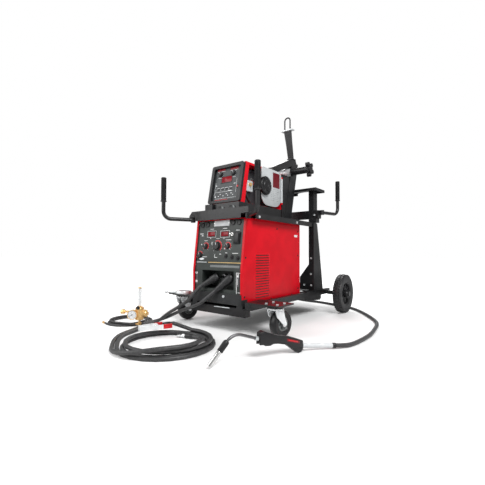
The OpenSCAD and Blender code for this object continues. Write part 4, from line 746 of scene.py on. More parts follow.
def makeRearWheel(name, side, body, node):
    radius, rim, hub, bore = (rearWheel[key] for key in ("radius", "rim", "hub", "bore"))
    half = rearWheel["wide"] / 2
    base = sideOf(*rearWheel["place"], radius, side)
    mesh = bmesh.new()
    wall = [(rim - 2, -half + 8), (rim + 4, -half + 3), (rim + 14, -half + 1.5), (rim + 24, -half)]
    addTurned(mesh, tyreProfile(wall, radius - 4, half, 0.65), base, 64)
    high, long, wide = (rearWheel[key] for key in ("lugHigh", "lugLong", "lugWide"))
    for i in range(rearWheel["lugs"]):
        for row, shift in ((-1, 0), (0, 0.5), (1, 0)):
            height = radius if row == 0 else radius - 3.6
            spot = moved(turned(base, 360 * (i + shift) / rearWheel["lugs"]), height, 0,
                         row * rearWheel["lugRow"])
            spot = turned(spot, math.degrees(row * rearWheel["lugLean"]), "Y")
            addBlock(mesh, (-high - 3, -long / 2, -wide / 2), (-0.4, long / 2, wide / 2), spot, 1.2, 1)
    finishPiece(name + "Tyre", mesh, "wheelRubber", body, node, smooth=30)
    # rim: dished disc with spokes on both faces
    shapes = [
        (addTurned, [(rim - 1, -half + 9), (rim - 8, -half + 10), (rim - 12, -8), (rim - 12, 8),
                     (rim - 8, half - 10), (rim - 1, half - 9)], base, 64),
        (addTurned, [(bore, -44), (22, -44), (24, -42), (hub, -30), (hub, 30), (24, 42), (22, 44),
                     (bore, 44)], base, 40),
        (addTurned, [(27, -5), (rim - 11, -3.5), (rim - 11, 3.5), (27, 5)], base, 64)]
    spoke = [(26, -5.5), (rim - 11.5, -8), (rim - 11.5, 8), (26, 5.5)]
    shapes += [(addPrism, spoke, *sorted((4 * s, 14 * s)), spot, 1.5)
               for spot in around(base, rearWheel["spokes"]) for s in (-1, 1)]
    makePiece(name + "Rim", "blackPlastic", shapes, body, smooth=30)


makeRearWheel("rearWheelLeft", -1, "rear_wheel_l", "rear_wheel_left")
makeRearWheel("rearWheelRight", 1, "rear_wheel_r", "rear_wheel_right")
print("rear wheels made")


# casters: soft tread on a grey hub, pressed steel fork
caster = {"place": (385, 70), "radius": 76, "wide": 48, "hub": 35, "trail": 45, "turn": -8, "bore": 6.06,
          "legInner": 28.2, "legOuter": 32.8,
          "leg": [(-26, 167), (-33, 152), (-20, 120), (28, 78), (33, 66), (45, 61), (57, 66), (62, 78),
                  (44, 120), (36, 152), (30, 167)],
          "rib": [(-16, 160), (-10, 126), (38, 84), (45, 80), (52, 84), (32, 124), (24, 160)]}


def makeCaster(name, side, wheelBody, forkBody, wheelNode, forkNode):
    radius, half, hub, bore = caster["radius"], caster["wide"] / 2, caster["hub"], caster["bore"]
    swivel = turned(moved(Matrix(), side * caster["place"][0], caster["place"][1]), caster["turn"])
    axle = moved(swivel, 0, caster["trail"], radius)
    base = turned(axle, 90, "Y")
    shoulder = [(hub + 5, -half + 5), (hub + 8, -half + 1.5), (hub + 15, -half)]
    makePiece(name + "Tread", "blackPlastic",
              [(addTurned, tyreProfile(shoulder, radius, half, 0.62), base, 56)], wheelBody, wheelNode)
    shapes = [(addTurned, [
        (hub + 5.5, -half + 6), (hub + 1, -half + 5), (hub - 4, -9), (16, -8), (15, -half - 3),
        (bore, -half - 3.5), (bore, half + 3.5), (15, half + 3), (16, 8), (hub - 4, 9), (hub + 1, half - 5),
        (hub + 5.5, half - 6)], base, 48)]
    shapes += [(addBlock, (14, -2.5, -half + 7), (hub + 1, 2.5, half - 7), spot, 0.8, 1)
               for spot in around(base, 6)]
    makePiece(name + "Hub", "greyPlastic", shapes, wheelBody)
    # fork: two pressed legs under a raised swivel plate, with axle bolt and nuts
    inner, outer = caster["legInner"], caster["legOuter"]
    legBase = swivel @ sideOf(0, 0, 0)
    shapes = []
    for s in (-1, 1):
        low, high = sorted((s * outer, s * (outer + 2.2)))
        nut = axle @ frameOf((s * 34.5, 0, 0), (s, 0, 0))
        shapes += [
            (addPrism, caster["leg"], *sorted((s * inner, s * outer)), legBase, 1.6),
            (addPrism, caster["rib"], low - 0.2, high, legBase, 1.4),
            (addTurned, stub(11, 9.5, -1, 1.2, 1.8), nut, 6), (addTurned, stub(6, 5, 1, 4.6, 5.2), nut, 20)]
    shapes += [
        (addRod, axle @ Vector((-0.0385, 0, 0)) * 1000, axle @ Vector((0.0385, 0, 0)) * 1000, 5.8),
        (addTurned, [(0, 155), (30, 155), (40, 158.5), (46, 160.5), (47.4, 163), (47.4, 166.5), (46, 168.6),
                     (36, 169.8), (0, 169.8)], swivel, 48),
        (addTurned, disc(7.9, 169, 181), swivel, 24),
        (addBlock, (-34, -28, 148), (-27, 30, 166), swivel, 3),  # the plate's cheeks down to the legs
        (addBlock, (27, -28, 148), (34, 30, 166), swivel, 3)]
    makePiece(name + "Fork", "paleZinc", shapes, forkBody, forkNode, smooth=32)


makeCaster("casterLeft", -1, "caster_tread_left", "caster_left", "caster_wheel_left", "caster_fork_left")
makeCaster("casterRight", 1, "caster_tread_right", "caster_right", "caster_wheel_right", "caster_fork_right")
print("casters made")


# control panel of the power source; places are (x, height) on the panel
markHigh = 0.35
panel = {
    "foot": 367,
    "lean": 6.582,
    "face": -7.94,
    "displays": [(-71, 590), (42, 588)],
    "breakers": [(64, 452), (112, 446), (159, 441)],
    "socket": (142, 560),
    "switch": (105, 584),
    "plate": (9, 656),
    "stripe": 412,
    "oval": (-141, 433),
    "name": (58, 389),
    # place, inner and outer radius, the scale's ends, the ticks' ends, their count and width
    "scales": [(-14, 513, 31, 38, -30, 135, -135, 135, 11, 0.9),
               (-114, 513, 20, 25, -135, 135, -135, 135, 11, 0.9),
               (73, 513, 20, 25, -135, 135, -135, 135, 11, 0.9),
               (-162, 456, 23, 27, -135, 60, -110, 70, 6, 1.3)],
    "glands": [(-158, 650), (-112, 652), (100, 656), (148, 655)],
    "screws": [(-192, 395), (-192, 660), (192, 395), (192, 660)],
    "rivets": [(-51, 656), (69, 656)],
    # x, z, width and height of each mark
    "marks": [(-71, 622, 34, 3), (39, 623, 34, 4), (-77, 563, 4, 8), (36, 561, 4, 8), (-160, 594, 30, 4),
              (-152, 582, 14, 6), (-62, 532, 4, 18), (-117, 549, 28, 3), (75, 551, 44, 3), (47, 497, 8, 6),
              (88, 496, 8, 6), (-154, 525, 6, 8), (-14, 561, 26, 2), (-30, 452, 3, 20), (-20, 443, 23, 3),
              (16, 464, 16, 3), (64, 472, 16, 3), (135, 469, 44, 3), (-116, 446, 38, 3), (142, 608, 30, 3)],
    "label": (174, 289, 36, 128),
    "patches": [(164, 338, 18, 20), (164, 300, 3, 40), (-179, 342, 18, 12), (-179, 288, 16, 14)],
    "strips": (-179, 164),
}


def onFront(x, z):
    lean = math.radians(panel["lean"])
    return moved(frameOf((x, (z - panel["foot"]) * math.tan(lean), z), (0, -math.cos(lean), math.sin(lean))),
                 z=panel["face"])


def makePanel():
    ticks, scales = [], []
    for x, z, inner, outer, first, last, tickFirst, tickLast, count, wide in panel["scales"]:
        ticks.append((addTicks, onFront(x, z), outer + 2, outer + 6, tickFirst, tickLast, count, wide))
        scales.append((addArc, onFront(x, z), inner, outer, first, last, 1))
    marks = list(panel["marks"])
    for x, z in panel["displays"]:
        marks += [(x, z + 20, 74, 2), (x, z - 20, 74, 2), (x - 37, z, 2, 42), (x + 37, z, 2, 42)]
    makePiece("panelMarks", "markInk",
              ticks + [(addPlate, w, h, markHigh, onFront(x, z)) for x, z, w, h in marks], smooth=0)
    makePiece("knobScales", "redPlastic", scales, smooth=0)
    makePiece("meterLenses", "litDisplay",
              [(addPlate, 58, 28, 3.6, onFront(*place), 1.2) for place in panel["displays"]])

    # black pieces: lens frames, socket cover, breakers, upper glands
    blacks = [(addBars, 28, 13, 0, 3, onFront(*place), 0.8) for place in panel["displays"]]
    socket = onFront(*panel["socket"])
    blacks += [(addPlate, 47, 72, 9, socket, 3, 3), (addBlock, (-19, -31, 8), (19, 31, 14), socket, 3, 3),
               (addBlock, (-12, 28, 4), (12, 36, 13), socket, 2)]
    for place in panel["breakers"]:
        blacks += [(addTurned, [(0, 0), (15, 0), (15, 3), (12, 5), (9.5, 5), (9.5, 7.4), (0, 7.4)],
                    onFront(*place), 6),
                   (addTurned, stub(6.6, 5.6, 7, 9.8, 10.4), onFront(*place), 24)]
    gland = [(0, 0), (17, 0), (17, 3), (14, 5.5), (11, 5.5), (10, 3), (0, 3)]
    blacks += [(addTurned, gland, onFront(*place)) for place in panel["glands"]]
    makePiece("panelBlacks", "blackPlastic", blacks)
    makePiece("blankPlate", "whitePlate",
              [(addPlate, 128, 36, 2.2, onFront(*panel["plate"]), 1)])

    steels = [(addTurned, stub(3.2, 2.4, 0, 3.1, 3.8), onFront(*place), 16) for place in panel["rivets"]]
    steels += [(addTurned, stub(4.5, 2.8, 0, 1.6, 2.8), onFront(*place), 16) for place in panel["screws"]]
    steels.append((addTurned, [(7, 0), (13, 0), (13, 2.5), (11.5, 4), (11.5, 8), (9.5, 9.5), (7, 9.5)],
                   onFront(*panel["switch"]), 6))
    makePiece("panelSteel", "brightSteel", steels, smooth=25)

    stripe = onFront(4, panel["stripe"])
    oval = [(22 * math.cos(math.tau * i / 32), 7.5 * math.sin(math.tau * i / 32)) for i in range(32)]
    makePiece("panelStripe", "goldStripe", [(addBlock, (-84, -2, 0), (188, 2, 1), stripe, 0.3, 1)])
    makePiece("barePlates", "zincPlate", [
        (addBlock, (-188, -2, 0), (-98, 2, 1), stripe, 0.3, 1),
        (addPrism, oval, 0, 1.2, onFront(*panel["oval"]), 0.4, 1)])
    makePiece("namePlate", "greyPlastic",
              [(addPlate, 236, 14, 1.2, onFront(*panel["name"]), 0.4)])

    # blank labels: a raised border on the right, patches on both steel strips beside the terminals
    x, z, w, h = panel["label"]
    patches = [(x + u, z + v, wide, high) for u, v, wide, high in (
        (0, h / 2, w, 3), (0, -h / 2, w, 3), (-w / 2, 0, 3, h), (w / 2, 0, 3, h),
        (2, -h / 2 + 14, w - 16, 3))]
    makePiece("blankLabels", "markInk", [
        (addPlate, w, h, 2.1, frontOf(x, 8, z)) for x, z, w, h in patches + panel["patches"]], smooth=0)
    strips = []
    for x in panel["strips"]:
        strips.append((addPlate, 22, 80, 1.6, frontOf(x, 8, 312), 0.7, 1))
        strips += [(addTurned, stub(4, 2.6, 1, 2.6, 3.8), frontOf(x, 8, z), 16) for z in (280, 344)]
    makePiece("terminalStrips", "darkSteel", strips, node="panel_fittings")


makePanel()
print("panel dressed")


# wire feeder: framed panel, displays, lights, buttons and connectors
feeder = {
    "middle": 4,
    "front": 50,
    "low": 783,
    "lean": (50, 260),
    "plate": -17,
    "film": (221.6, 220.4, 132.38),
    "small": [(-62, 1016, 33, 8), (48, 1012, 33, 8)],
    "main": (-6, 946, 42, 19),
    "lights": [(-60, 838), (-20, 838), (20, 838), (60, 838)],
    "buttons": [(-70, 884), (-35, 884), (0, 884), (35, 884)],
    "dials": [(-64, 986), (46, 982)],
    "push": (94, 889),
    "bar": (-10, 812),
    "sockets": [(0, 746), (90, 746)],
    # x, z, width and height of each mark
    "marks": [(-64, 962, 40, 2.6), (46, 957, 36, 2.6), (-20, 866, 150, 1.6), (0, 822, 178, 1.6),
              (-98, 888, 1.6, 90), (80, 898, 1.6, 90), (-92, 912, 12, 5), (64, 912, 16, 4), (30, 868, 30, 4),
              (-46, 850, 10, 4), (6, 850, 12, 4), (46, 850, 10, 4), (-88, 836, 8, 10)],
}


def onFeeder(x, z):
    lean = math.atan2(*feeder["lean"])
    place = (feeder["middle"] + x, feeder["front"] + (z - feeder["low"]) * math.tan(lean), z)
    return moved(frameOf(place, (0, -math.cos(lean), math.sin(lean))), z=feeder["plate"])


# turning knobs: skirt, fluted grip and a pointer; radius, height, body, node and flutes
knobs = {
    "outputKnob": (onFront(-14, 513), 28, 18, "main_knob", "output_knob", 20),
    "arcKnobLeft": (onFront(-114, 513), 18, 14.4, "arc_knob_l", "arc_knob_left", 16),
    "arcKnobRight": (onFront(73, 513), 18, 14.4, "arc_knob_r", "arc_knob_right", 16),
    "selectorKnob": (onFront(-162, 456), 21, 12.6, "selector", "mode_selector", 16),
    "feedKnobLeft": (onFeeder(-64, 986), 17, 14, "feed_knob_l", "feeder_knob_left", 16),
    "feedKnobRight": (onFeeder(46, 982), 17, 14, "feed_knob_r", "feeder_knob_right", 16),
}


def makeKnob(name, place, radius, high, body, node, flutes):
    base = moved(place, z=0.3)
    top = radius * 0.8
    line = radius * 0.05
    shapes = [(addTurned, [
        (0, 0), (radius, 0), (radius, high * 0.18), (radius - 1.2, high * 0.26), (top, high * 0.36),
        (top, high - 1.5), (top - 1.5, high), (top - 3.5, high), (top - 4.2, high - 0.7), (0, high - 0.7)],
        base, 40)]
    shapes += [(addBlock, (top - 1.5, -top * 0.09, high * 0.3), (top + 1.4, top * 0.09, high - 1.6), spot,
                0.5, 1) for spot in around(base, flutes)]
    makePiece(name, "blackPlastic", shapes, body, node)
    makePiece(name + "Pointer", "whitePlate", [
        (addBlock, (-line, top * 0.25, high - 0.8), (line, top - 1.2, high + markHigh), base),
        (addBlock, (-line, top + 1.5, high * 0.1), (line, radius + 0.25, high * 0.2), base)], body, smooth=0)


for name, values in knobs.items():
    makeKnob(name, *values)
print("knobs made")


# power source: louvres, screws, small plate, boots and studs
louvre = {"first": 133, "long": 138, "low": 205, "pitch": 16, "count": 17, "out": 5, "slotHigh": 6.4}
powerCase = {"side": 205, "plate": (624, 594),
             "screws": [(22, 215), (31, 443), (371, 631), (655, 628), (655, 455), (655, 215), (300, 178),
                        (560, 178)]}


def addHood(mesh, place):  # opens downwards, closed at both ends
    half, out = louvre["long"] / 2, louvre["out"]
    for vert in bmesh.ops.create_grid(mesh, x_segments=8, y_segments=6, size=0.5, matrix=Matrix())["verts"]:
        u, v = vert.co.x * 2, vert.co.y + 0.5
        end = min(1, (1 - abs(u)) * 8)
        high = 0.5 - 0.5 * math.cos(math.pi * min(1, (1 - v) * 1.25))
        vert.co = place @ (Vector((u * (half + 3), v * 9 - 1.5, end * out * high + 0.15)) / 1000)


def makeSidePanels():
    first, long, out = louvre["first"], louvre["long"], powerCase["side"]
    slot = roundOutline(long, louvre["slotHigh"], 2.4, 4)
    rows = [(side, louvre["low"] + i * louvre["pitch"]) for side in (-1, 1) for i in range(louvre["count"])]
    middles = [sideOf(out, first + long / 2, z, side) for side, z in rows]
    makePiece("louvreLips", "redPaint", [(addHood, place) for place in middles])
    # flat black sheets under the hoods: painted shade where the open slots would look dark
    makePiece("louvreSlotShade", "blackPowder",
              [(addPrism, slot, 0, markHigh, moved(place, y=-4)) for place in middles], smooth=0)
    # lighter red blocks at the hoods' right ends: a painted highlight where the ends catch light
    makePiece("louvreEndHighlights", "edgeRed", [
        (addBlock, (-1.6, -2, 0), (1.6, 7.5, 4.4), sideOf(out, first + long + 2, z, side), 1.4)
        for side, z in rows])
    screw = [(0, 0), (6.5, 0), (6.3, 1.2), (4.5, 2.6), (2.6, 3), (2.2, 2), (0, 2)]
    makePiece("caseScrews", "blackPlastic", [
        (addTurned, screw, sideOf(out, *place, side), 20) for side in (-1, 1)
        for place in powerCase["screws"]])
    makePiece("sidePlate", "whitePlate",
              [(addPlate, 44, 16, 0.6, sideOf(out, *powerCase["plate"]), 0.4, 1)])


# radius against the part of the boot's length
bootProfile = [(0, -0.16), (20, -0.16), (25, -0.1), (26.5, 0.05), (26, 0.2), (23.5, 0.36), (20.5, 0.46),
               (20, 0.5), (20.6, 0.54), (18, 0.7), (17.4, 0.74), (17.8, 0.78), (15.6, 0.9), (15, 1),
               (10.6, 1)]


def makeBoots():
    rubber, studs = [], []
    for first, last in (weldCable["workBoot"], weldCable["electrodeBoot"]):
        axis = Vector(last) - Vector(first)
        base = frameOf(first, axis)
        rubber.append((addTurned, [(r, t * axis.length) for r, t in bootProfile], base, 40))
        rubber += [(addBlock, (-2, 17 * i - 2, 4), (2, 17 * i + 8 * i, axis.length * 0.4), base, 1.5)
                   for i in (-1, 1)]
        stud = frontOf(first[0], 110, first[2])
        studs += [(addTurned, [(0, 0), (20, 0), (20, 12), (18, 14), (9, 14), (6, 16), (6, 96), (0, 96)],
                   stud),
                  (addTurned, disc(15, 80, 87), stud), (addTurned, stub(11, 9.5, 87, 96, 97.5), stud, 6)]
    makePiece("cableBoots", "bootRubber", rubber, node="output_lugs")
    makePiece("outputStuds", "darkSteel", studs)


makeSidePanels()
makeBoots()
print("power source dressed")


def makeFeederFace():
    wide, high, up = feeder["film"]
    film = moved(onFeeder(0, feeder["low"]), y=up)
    makePiece("feederFilm", "panelFilm",
              [(addPrism, roundOutline(wide, high, 10), -3, 0, film)], node="feeder_panel", smooth=0)
    x, z, w, h = feeder["main"]
    main = onFeeder(x, z)
    lenses = [(addPrism, roundOutline(2 * w, 2 * h, 6), 0, 2.2, main, 0.6)]
    # raised frame round the main display, button caps, collar of the push button
    push = onFeeder(*feeder["push"])
    blacks = [(addBars, w, h, 0.5, 2, main, 0.7)]
    blacks += [(addPrism, roundOutline(22, 10, 4), 0, 1.8, onFeeder(*place), 0.6)
               for place in feeder["buttons"]]
    blacks.append((addTurned, [(7.3, -2), (13, -2), (13, 1.4), (11.5, 2.2), (8.2, 2.2), (7.3, 1.2)], push))
    # lamps, printed outlines and ticks
    lamp = [(0, 0), (3.4, 0), (3.2, 1.6), (2, 2.4), (0, 2.8)]
    printed = [(addTurned, lamp, onFeeder(*place), 16) for place in feeder["lights"]]
    marks = list(feeder["marks"])
    for x, z in feeder["buttons"]:
        marks += [(x, z + 8, 24, 2.4), (x - 12, z, 2.4, 16)]
    for x, z, w, h in feeder["small"]:
        lenses.append((addPrism, roundOutline(2 * w, 2 * h, 3), 0, 1.6, onFeeder(x, z), 0.5, 1))
        marks += [(x, z + h + 2.5, 2 * w, 2.2), (x, z - h - 2.5, 2 * w, 2.2)]
    printed += [(addPlate, w, h, markHigh, onFeeder(x, z)) for x, z, w, h in marks]
    printed += [(addTicks, onFeeder(*place), 19, 23, -135, 135, 9) for place in feeder["dials"]]
    makePiece("feederDisplays", "litDisplay", lenses)
    makePiece("feederFrames", "blackPlastic", blacks)
    makePiece("feederMarks", "whitePlate", printed, smooth=25)
    makePiece("feederReds", "redPlastic", [
        (addBlock, (-78, -2.6, 0), (30, 2.6, 0.5), onFeeder(*feeder["bar"])),
        (addTurned, [(0, -2), (6.7, -2), (6.7, 4.4), (5.6, 5.4), (0, 5.8)], push, 28)])
    sockets = []
    for x, z in feeder["sockets"]:
        base = frontOf(x, feeder["front"], z)
        sockets.append((addTurned,
                        [(0, 0), (17, 0), (17, 9), (15, 11), (13.5, 16), (11, 16), (10.5, 5), (0, 5)], base))
        for i in range(5):
            a = math.tau * i / 5
            sockets.append((addTurned, disc(1.2, 4, 13), moved(base, 6 * math.cos(a), 6 * math.sin(a)), 8))
    makePiece("controlSockets", "greyPlastic", sockets)


# the feeder's cover with its lower rear corner cut well back, its plate, hinge rod and big knob
cover = {"x": 137.3, "y": 403, "z": 919, "wide": 246, "high": 256,
         "corners": (34, 22, 70, 84), "thick": 6, "knob": (304, 917), "plate": (457, 978),
         "chartHigh": 912, "rows": 7, "rowPitch": 13,
         "columns": [(388, 18), (412, 26), (444, 12), (462, 30)]}


def makeCover():
    x, thick = cover["x"], cover["thick"]
    outline = roundOutline(cover["wide"], cover["high"], cover["corners"], 8)
    base = sideOf(x, cover["y"], cover["z"])
    hub = sideOf(x, *cover["knob"])
    makePiece("driveCover", "silverCoat", [
        (addPrism, outline, 0, thick, base, 1.6), (addBlock, (103, -88, 0), (133, 85, 6), base, 1, 1),
        (addTurned, [(6.06, 5), (15, 5), (15, 9.4), (14, 10), (6.06, 10)], hub),
        (addRod, (140.3, 536, 831.3), (140.3, 536, 1003.7), 6, 0.5)], "cover", "drive_cover")
    makePiece("coverPlate", "deepRed", [
        (addPrism, roundOutline(86, 104, 4), 0, 0.7, sideOf(x + thick, *cover["plate"]), 0.3, 1)], "cover")
    chart = []  # short lines of uneven length
    for row in range(cover["rows"]):
        for k, (start, wide) in enumerate(cover["columns"]):
            long = wide * (0.7 + 0.3 * math.sin(row * 2.3 + k * 1.7))
            chart.append((addBlock, (0, -1.1, 0), (long, 1.1, 0.25),
                          sideOf(x + thick, start, cover["chartHigh"] - row * cover["rowPitch"])))
    makePiece("coverChart", "greyPlastic", chart, "cover", smooth=0)
    face = moved(hub, z=10.3)
    knob = [(addTurned, [(0, 0), (56, 0), (58, 2), (58, 16), (55, 19.5), (34, 20), (31, 24), (27, 26),
                         (10, 26), (8, 24), (0, 24)], face, 64)]
    knob += [(addBlock, (54, -2, 0.4), (61.5, 2, 18), spot, 1.2) for spot in around(face, 36)]
    knob += [(addBlock, (12, -1.5, 19), (56, 1.5, 22), spot, 0.8, 1) for spot in around(face, 6)]
    knob.append((addTurned, disc(5.9, -12, 0.5), face, 24))
    makePiece("coverKnob", "blackPlastic", knob, "cover_turn_knob", "cover_knob")


makeFeederFace()
makeCover()
print("feeder dressed")


# welding gun: nozzle, insulated sleeve, bent neck, handle and spring guard
gun = {"place": (431, -497, 0), "turn": 69, "tip": 12, "nozzle": 48, "grip": 236, "neck": 6.5,
       "body": [(0, 66), (4, 119), (22, 125), (87, 101), (181, 79), (248, 55), (248, 12), (234, 3), (219, 0),
                (164, 38), (151, 48), (98, 60)],
       "screws": [(24, 106), (120, 72), (232, 22)],
       "inlay": [(150, 77.5), (226, 56), (224, 44), (150, 63)],
       "stripe": [(158, 72.5), (214, 57), (213, 50.5), (158, 65.5)]}


def makeGun():
    turn, start = math.radians(gun["turn"]), gun["grip"]
    base = frameOf(gun["place"], (math.sin(turn), -math.cos(turn), 0))
    aim = turned(turned(moved(base, y=gun["tip"]), gun["nozzle"]), 90, "Y")
    neckEnd = turned(turned(moved(base, 152.61, 119.42), -18), 90, "Y")
    makePiece("gunNozzle", "brightSteel", [(addTurned, [
        (8, 24), (8, 0.6), (8.6, 0), (10.4, 0), (11, 0.8), (11, 44), (10, 45), (10, 49), (11, 50), (11, 70),
        (10.2, 72), (6, 72)], aim, 40, False)], node="gun_neck")
    makePiece("gunTip", "copperWire", [
        (addTurned, [(0, 4), (2.4, 4), (3.5, 7), (3.5, 26), (7.5, 27), (7.5, 40), (0, 40)], aim, 24)])
    makePiece("gunSleeve", "blackPlastic", [(addTurned, [
        (6, 70), (12.4, 70), (13.2, 71), (13.2, 80), (12.4, 81), (12.4, 83), (13.2, 84), (13.2, 112),
        (12, 119), (9, 123), (6, 123)], aim)])
    makePiece("gunCollar", "zincPlate", [
        (addTurned, [(6, 72), (9.5, 72), (9.5, 86), (8, 88), (8, 98), (6, 98)], neckEnd)])
    points = [(72.26, 92.29)] + [
        (130.98 + 70 * math.cos(a), 52.85 + 70 * math.sin(a))
        for a in (math.radians(138 - 66 * i / 16) for i in range(17))] + [(245.8, 89.1)]
    way = Vector((math.cos(turn), math.sin(turn), 0))
    makeRod("gunNeck", [Vector(gun["place"]) + x * way + Vector((0, 0, y)) for x, y in points], gun["neck"],
            "darkSteel")
    # the handle's cheeks and its thicker core, ribs over its back, screws
    shell = [(start + x, y) for x, y in gun["body"]]
    core = [(start, 82)] + shell[1:] + [(start + 91, 82)]
    shapes = [(addPrism, shell, -17, -8.2, base, 3.2, 3), (addPrism, shell, 8.2, 17, base, 3.2, 3),
              (addPrism, core, -10, 10, base, 2)]
    for i in range(9):
        x, y = start + 104 + i * 5, 98.6 - (17 + i * 5) * 0.234
        shapes.append((addBlock, (x - 1.2, y - 3, -11), (x + 1.2, y + 0.9, 11), base, 0.8, 1))
    screw = [(1.6, -1), (4.6, -1), (4.6, 0.7), (3.8, 0.9), (1.6, 0.3)]
    shapes += [(addTurned, screw, turned(moved(base, start + x, y, side * 17), 90 - side * 90, "X"), 16)
               for x, y in gun["screws"] for side in (-1, 1)]
    makePiece("gunHandle", "blackPlastic", shapes, node="gun_handle")
    for name, key, half, finish in (("gunInlay", "inlay", 17.5, "deepRed"),
                                    ("gunStripe", "stripe", 17.9, "redPlastic")):
        outline = [(start + x, y) for x, y in gun[key]]
        makePiece(name, finish, [(addPrism, outline, -half, half, base, 0.8)])
    # guard: close-wound spring over a pale liner, with its end sockets
    guard, long = frameOf(gunCable["guardStart"], gunCable["guardWay"]), gunCable["guardLong"]
    outline = [(0, 2)]
    for i in range(int(long / 5) - 2):
        z = 4 + i * 5
        outline += [(10.6, z), (12, z + 1.2), (12, z + 2.8), (10.6, z + 4)]
    outline += [(10.6, long - 5), (0, long - 5)]
    makePiece("guardSpring", "palePlastic", [(addTurned, outline, guard, 28)], smooth=50)
    makePiece("guardEnds", "blackPlastic", [
        (addTurned, stub(13, 11.6, -3, 12, 15), guard),
        (addTurned, [(11.4, long - 20), (13, long - 17), (13, long), (11.2, long)], guard)])


makeGun()
print("gun made")


# work clamp: pressed arms with toothed jaws, red grips, spring and cable ferrule
clamp = {"place": (-175.8, -423.7, 61.5), "turn": 80,
         "lower": [(0, 0), (170, 0), (170, 5), (32, 5), (24, 10), (0, 10)],
         "ear": [(66, 4), (106, 4), (96, 44), (76, 44)],
         "upper": [(0, 12), (24, 12), (26, 18), (58, 22), (76, 27), (95, 28), (100, 44), (170, 60), (170, 66),
                   (88, 54), (56, 30), (0, 24)],
         "gripLow": [(92, -1), (142, -1), (142, 6), (92, 6)],
         "gripHigh": [(122, 48), (170.6, 59), (170.6, 67.6), (120, 60)]}


def makeClamp():
    turn = math.radians(clamp["turn"])
    base = frameOf(clamp["place"], (0, 0, -1), (math.sin(turn), -math.cos(turn), 0))
    pin = moved(base, 86, 36)
    lower = [(addPrism, clamp["lower"], -15, 15, base, 1.2), (addPrism, clamp["ear"], -15, -12, base, 1),
             (addPrism, clamp["ear"], 12, 15, base, 1)]
    lower += [(addPrism, [(x, 9.6), (x + 3.6, 9.6), (x + 1.8, 11.6)], -12, 12, base) for x in range(2, 26, 4)]
    lower.append((addTurned,
                  [(0, -18), (5.5, -18), (5.5, -15), (4, -15), (4, 15), (6.4, 15), (6.4, 18.4), (0, 18.4)],
                  pin, 20))
    makePiece("clampLower", "paleZinc", lower, node="clamp_lower")
    makePiece("clampFerrule", "blackPlastic", [(addTurned, [
        (6, 0), (11, 0), (13, 3), (13, 40), (12, 45), (10.6, 45), (10.6, 42)],
        turned(moved(base, 140, 13), 90, "Y"), 32, False)])
    makePiece("clampGripLow", "redPlastic", [(addPrism, clamp["gripLow"], -16, 16, base, 1.6)])
    upper = [(addPrism, clamp["upper"], -11, 11, base, 1.2)]
    upper += [(addPrism, [(x, 12.4), (x + 3.6, 12.4), (x + 1.8, 11)], -9, 9, base) for x in range(3, 23, 4)]
    makePiece("clampUpper", "paleZinc", upper, "clamp_arm", "clamp_upper")
    makePiece("clampGripHigh", "redPlastic",
              [(addPrism, clamp["gripHigh"], -12.4, 12.4, base, 2, 3)], "clamp_arm")
    coils = []  # spring round the pin
    for i in range(7):
        z = -10.5 + i * 3.2
        ring = [(9 + 1.3 * math.cos(a), z + 1.3 * math.sin(a)) for a in (k * math.tau / 8 for k in range(8))]
        coils.append((addTurned, ring, pin, 24))
    makePiece("clampSpring", "brightSteel", coils)


def ribs(heights, low, high, base):  # low raised rings round a sleeve
    return [(addTurned, [(low, z), (high, z + 1), (high, z + 2.6), (low, z + 3.6)], base) for z in heights]


def makeLug():
    base = frameOf(weldCable["lugPlace"], weldCable["lugWay"])
    tongue = frameOf(weldCable["lugPlace"] + 79 * weldCable["lugWay"], (0, 0, 1), weldCable["lugWay"])
    sleeve = [(10.6, 0), (12.4, 0), (13, 2), (13, 40), (11.5, 44), (9, 45), (0, 45)]
    makePiece("lugSleeve", "bootRubber",
              [(addTurned, sleeve, base)] + ribs((8, 14, 20, 26, 32), 12.6, 13.3, base))
    makePiece("lugTongue", "paleZinc", [
        (addTurned, [(0, 43), (9, 43), (9, 60), (8, 64), (0, 65)], base, 28),
        (addPrism, roundOutline(27, 26, 11), -2.5, 2.5, tongue, 0.8),
        (addBlock, (-10, -24, -2.5), (10, -6, 2.5), tongue, 0.8)], node="cable_lug")
    makePiece("lugRing", "coreIron", [
        (addTurned, ringOf(5.5, 9, 2.4, 3), tongue, 28),
        (addTurned, ringOf(5.4, 8.6, -2.7, -2.4), tongue, 28)])


makeClamp()
makeLug()
print("clamp and lug made")


# gas regulator: brass body and bonnet, gauge, valve, clear flow tube with its float
gauge = {"across": -38, "high": 82, "from": 8, "needle": 118, "ticks": 20, "sweep": 270}
flowTube = {"low": 132, "high": 244, "marks": [150 + i * 10 for i in range(9)]}


def regAlong(way, z, start=0, side=0):
    return frameOf(regulator["place"] + start * way + side * regulator["way"] + Vector((0, 0, z)), way)


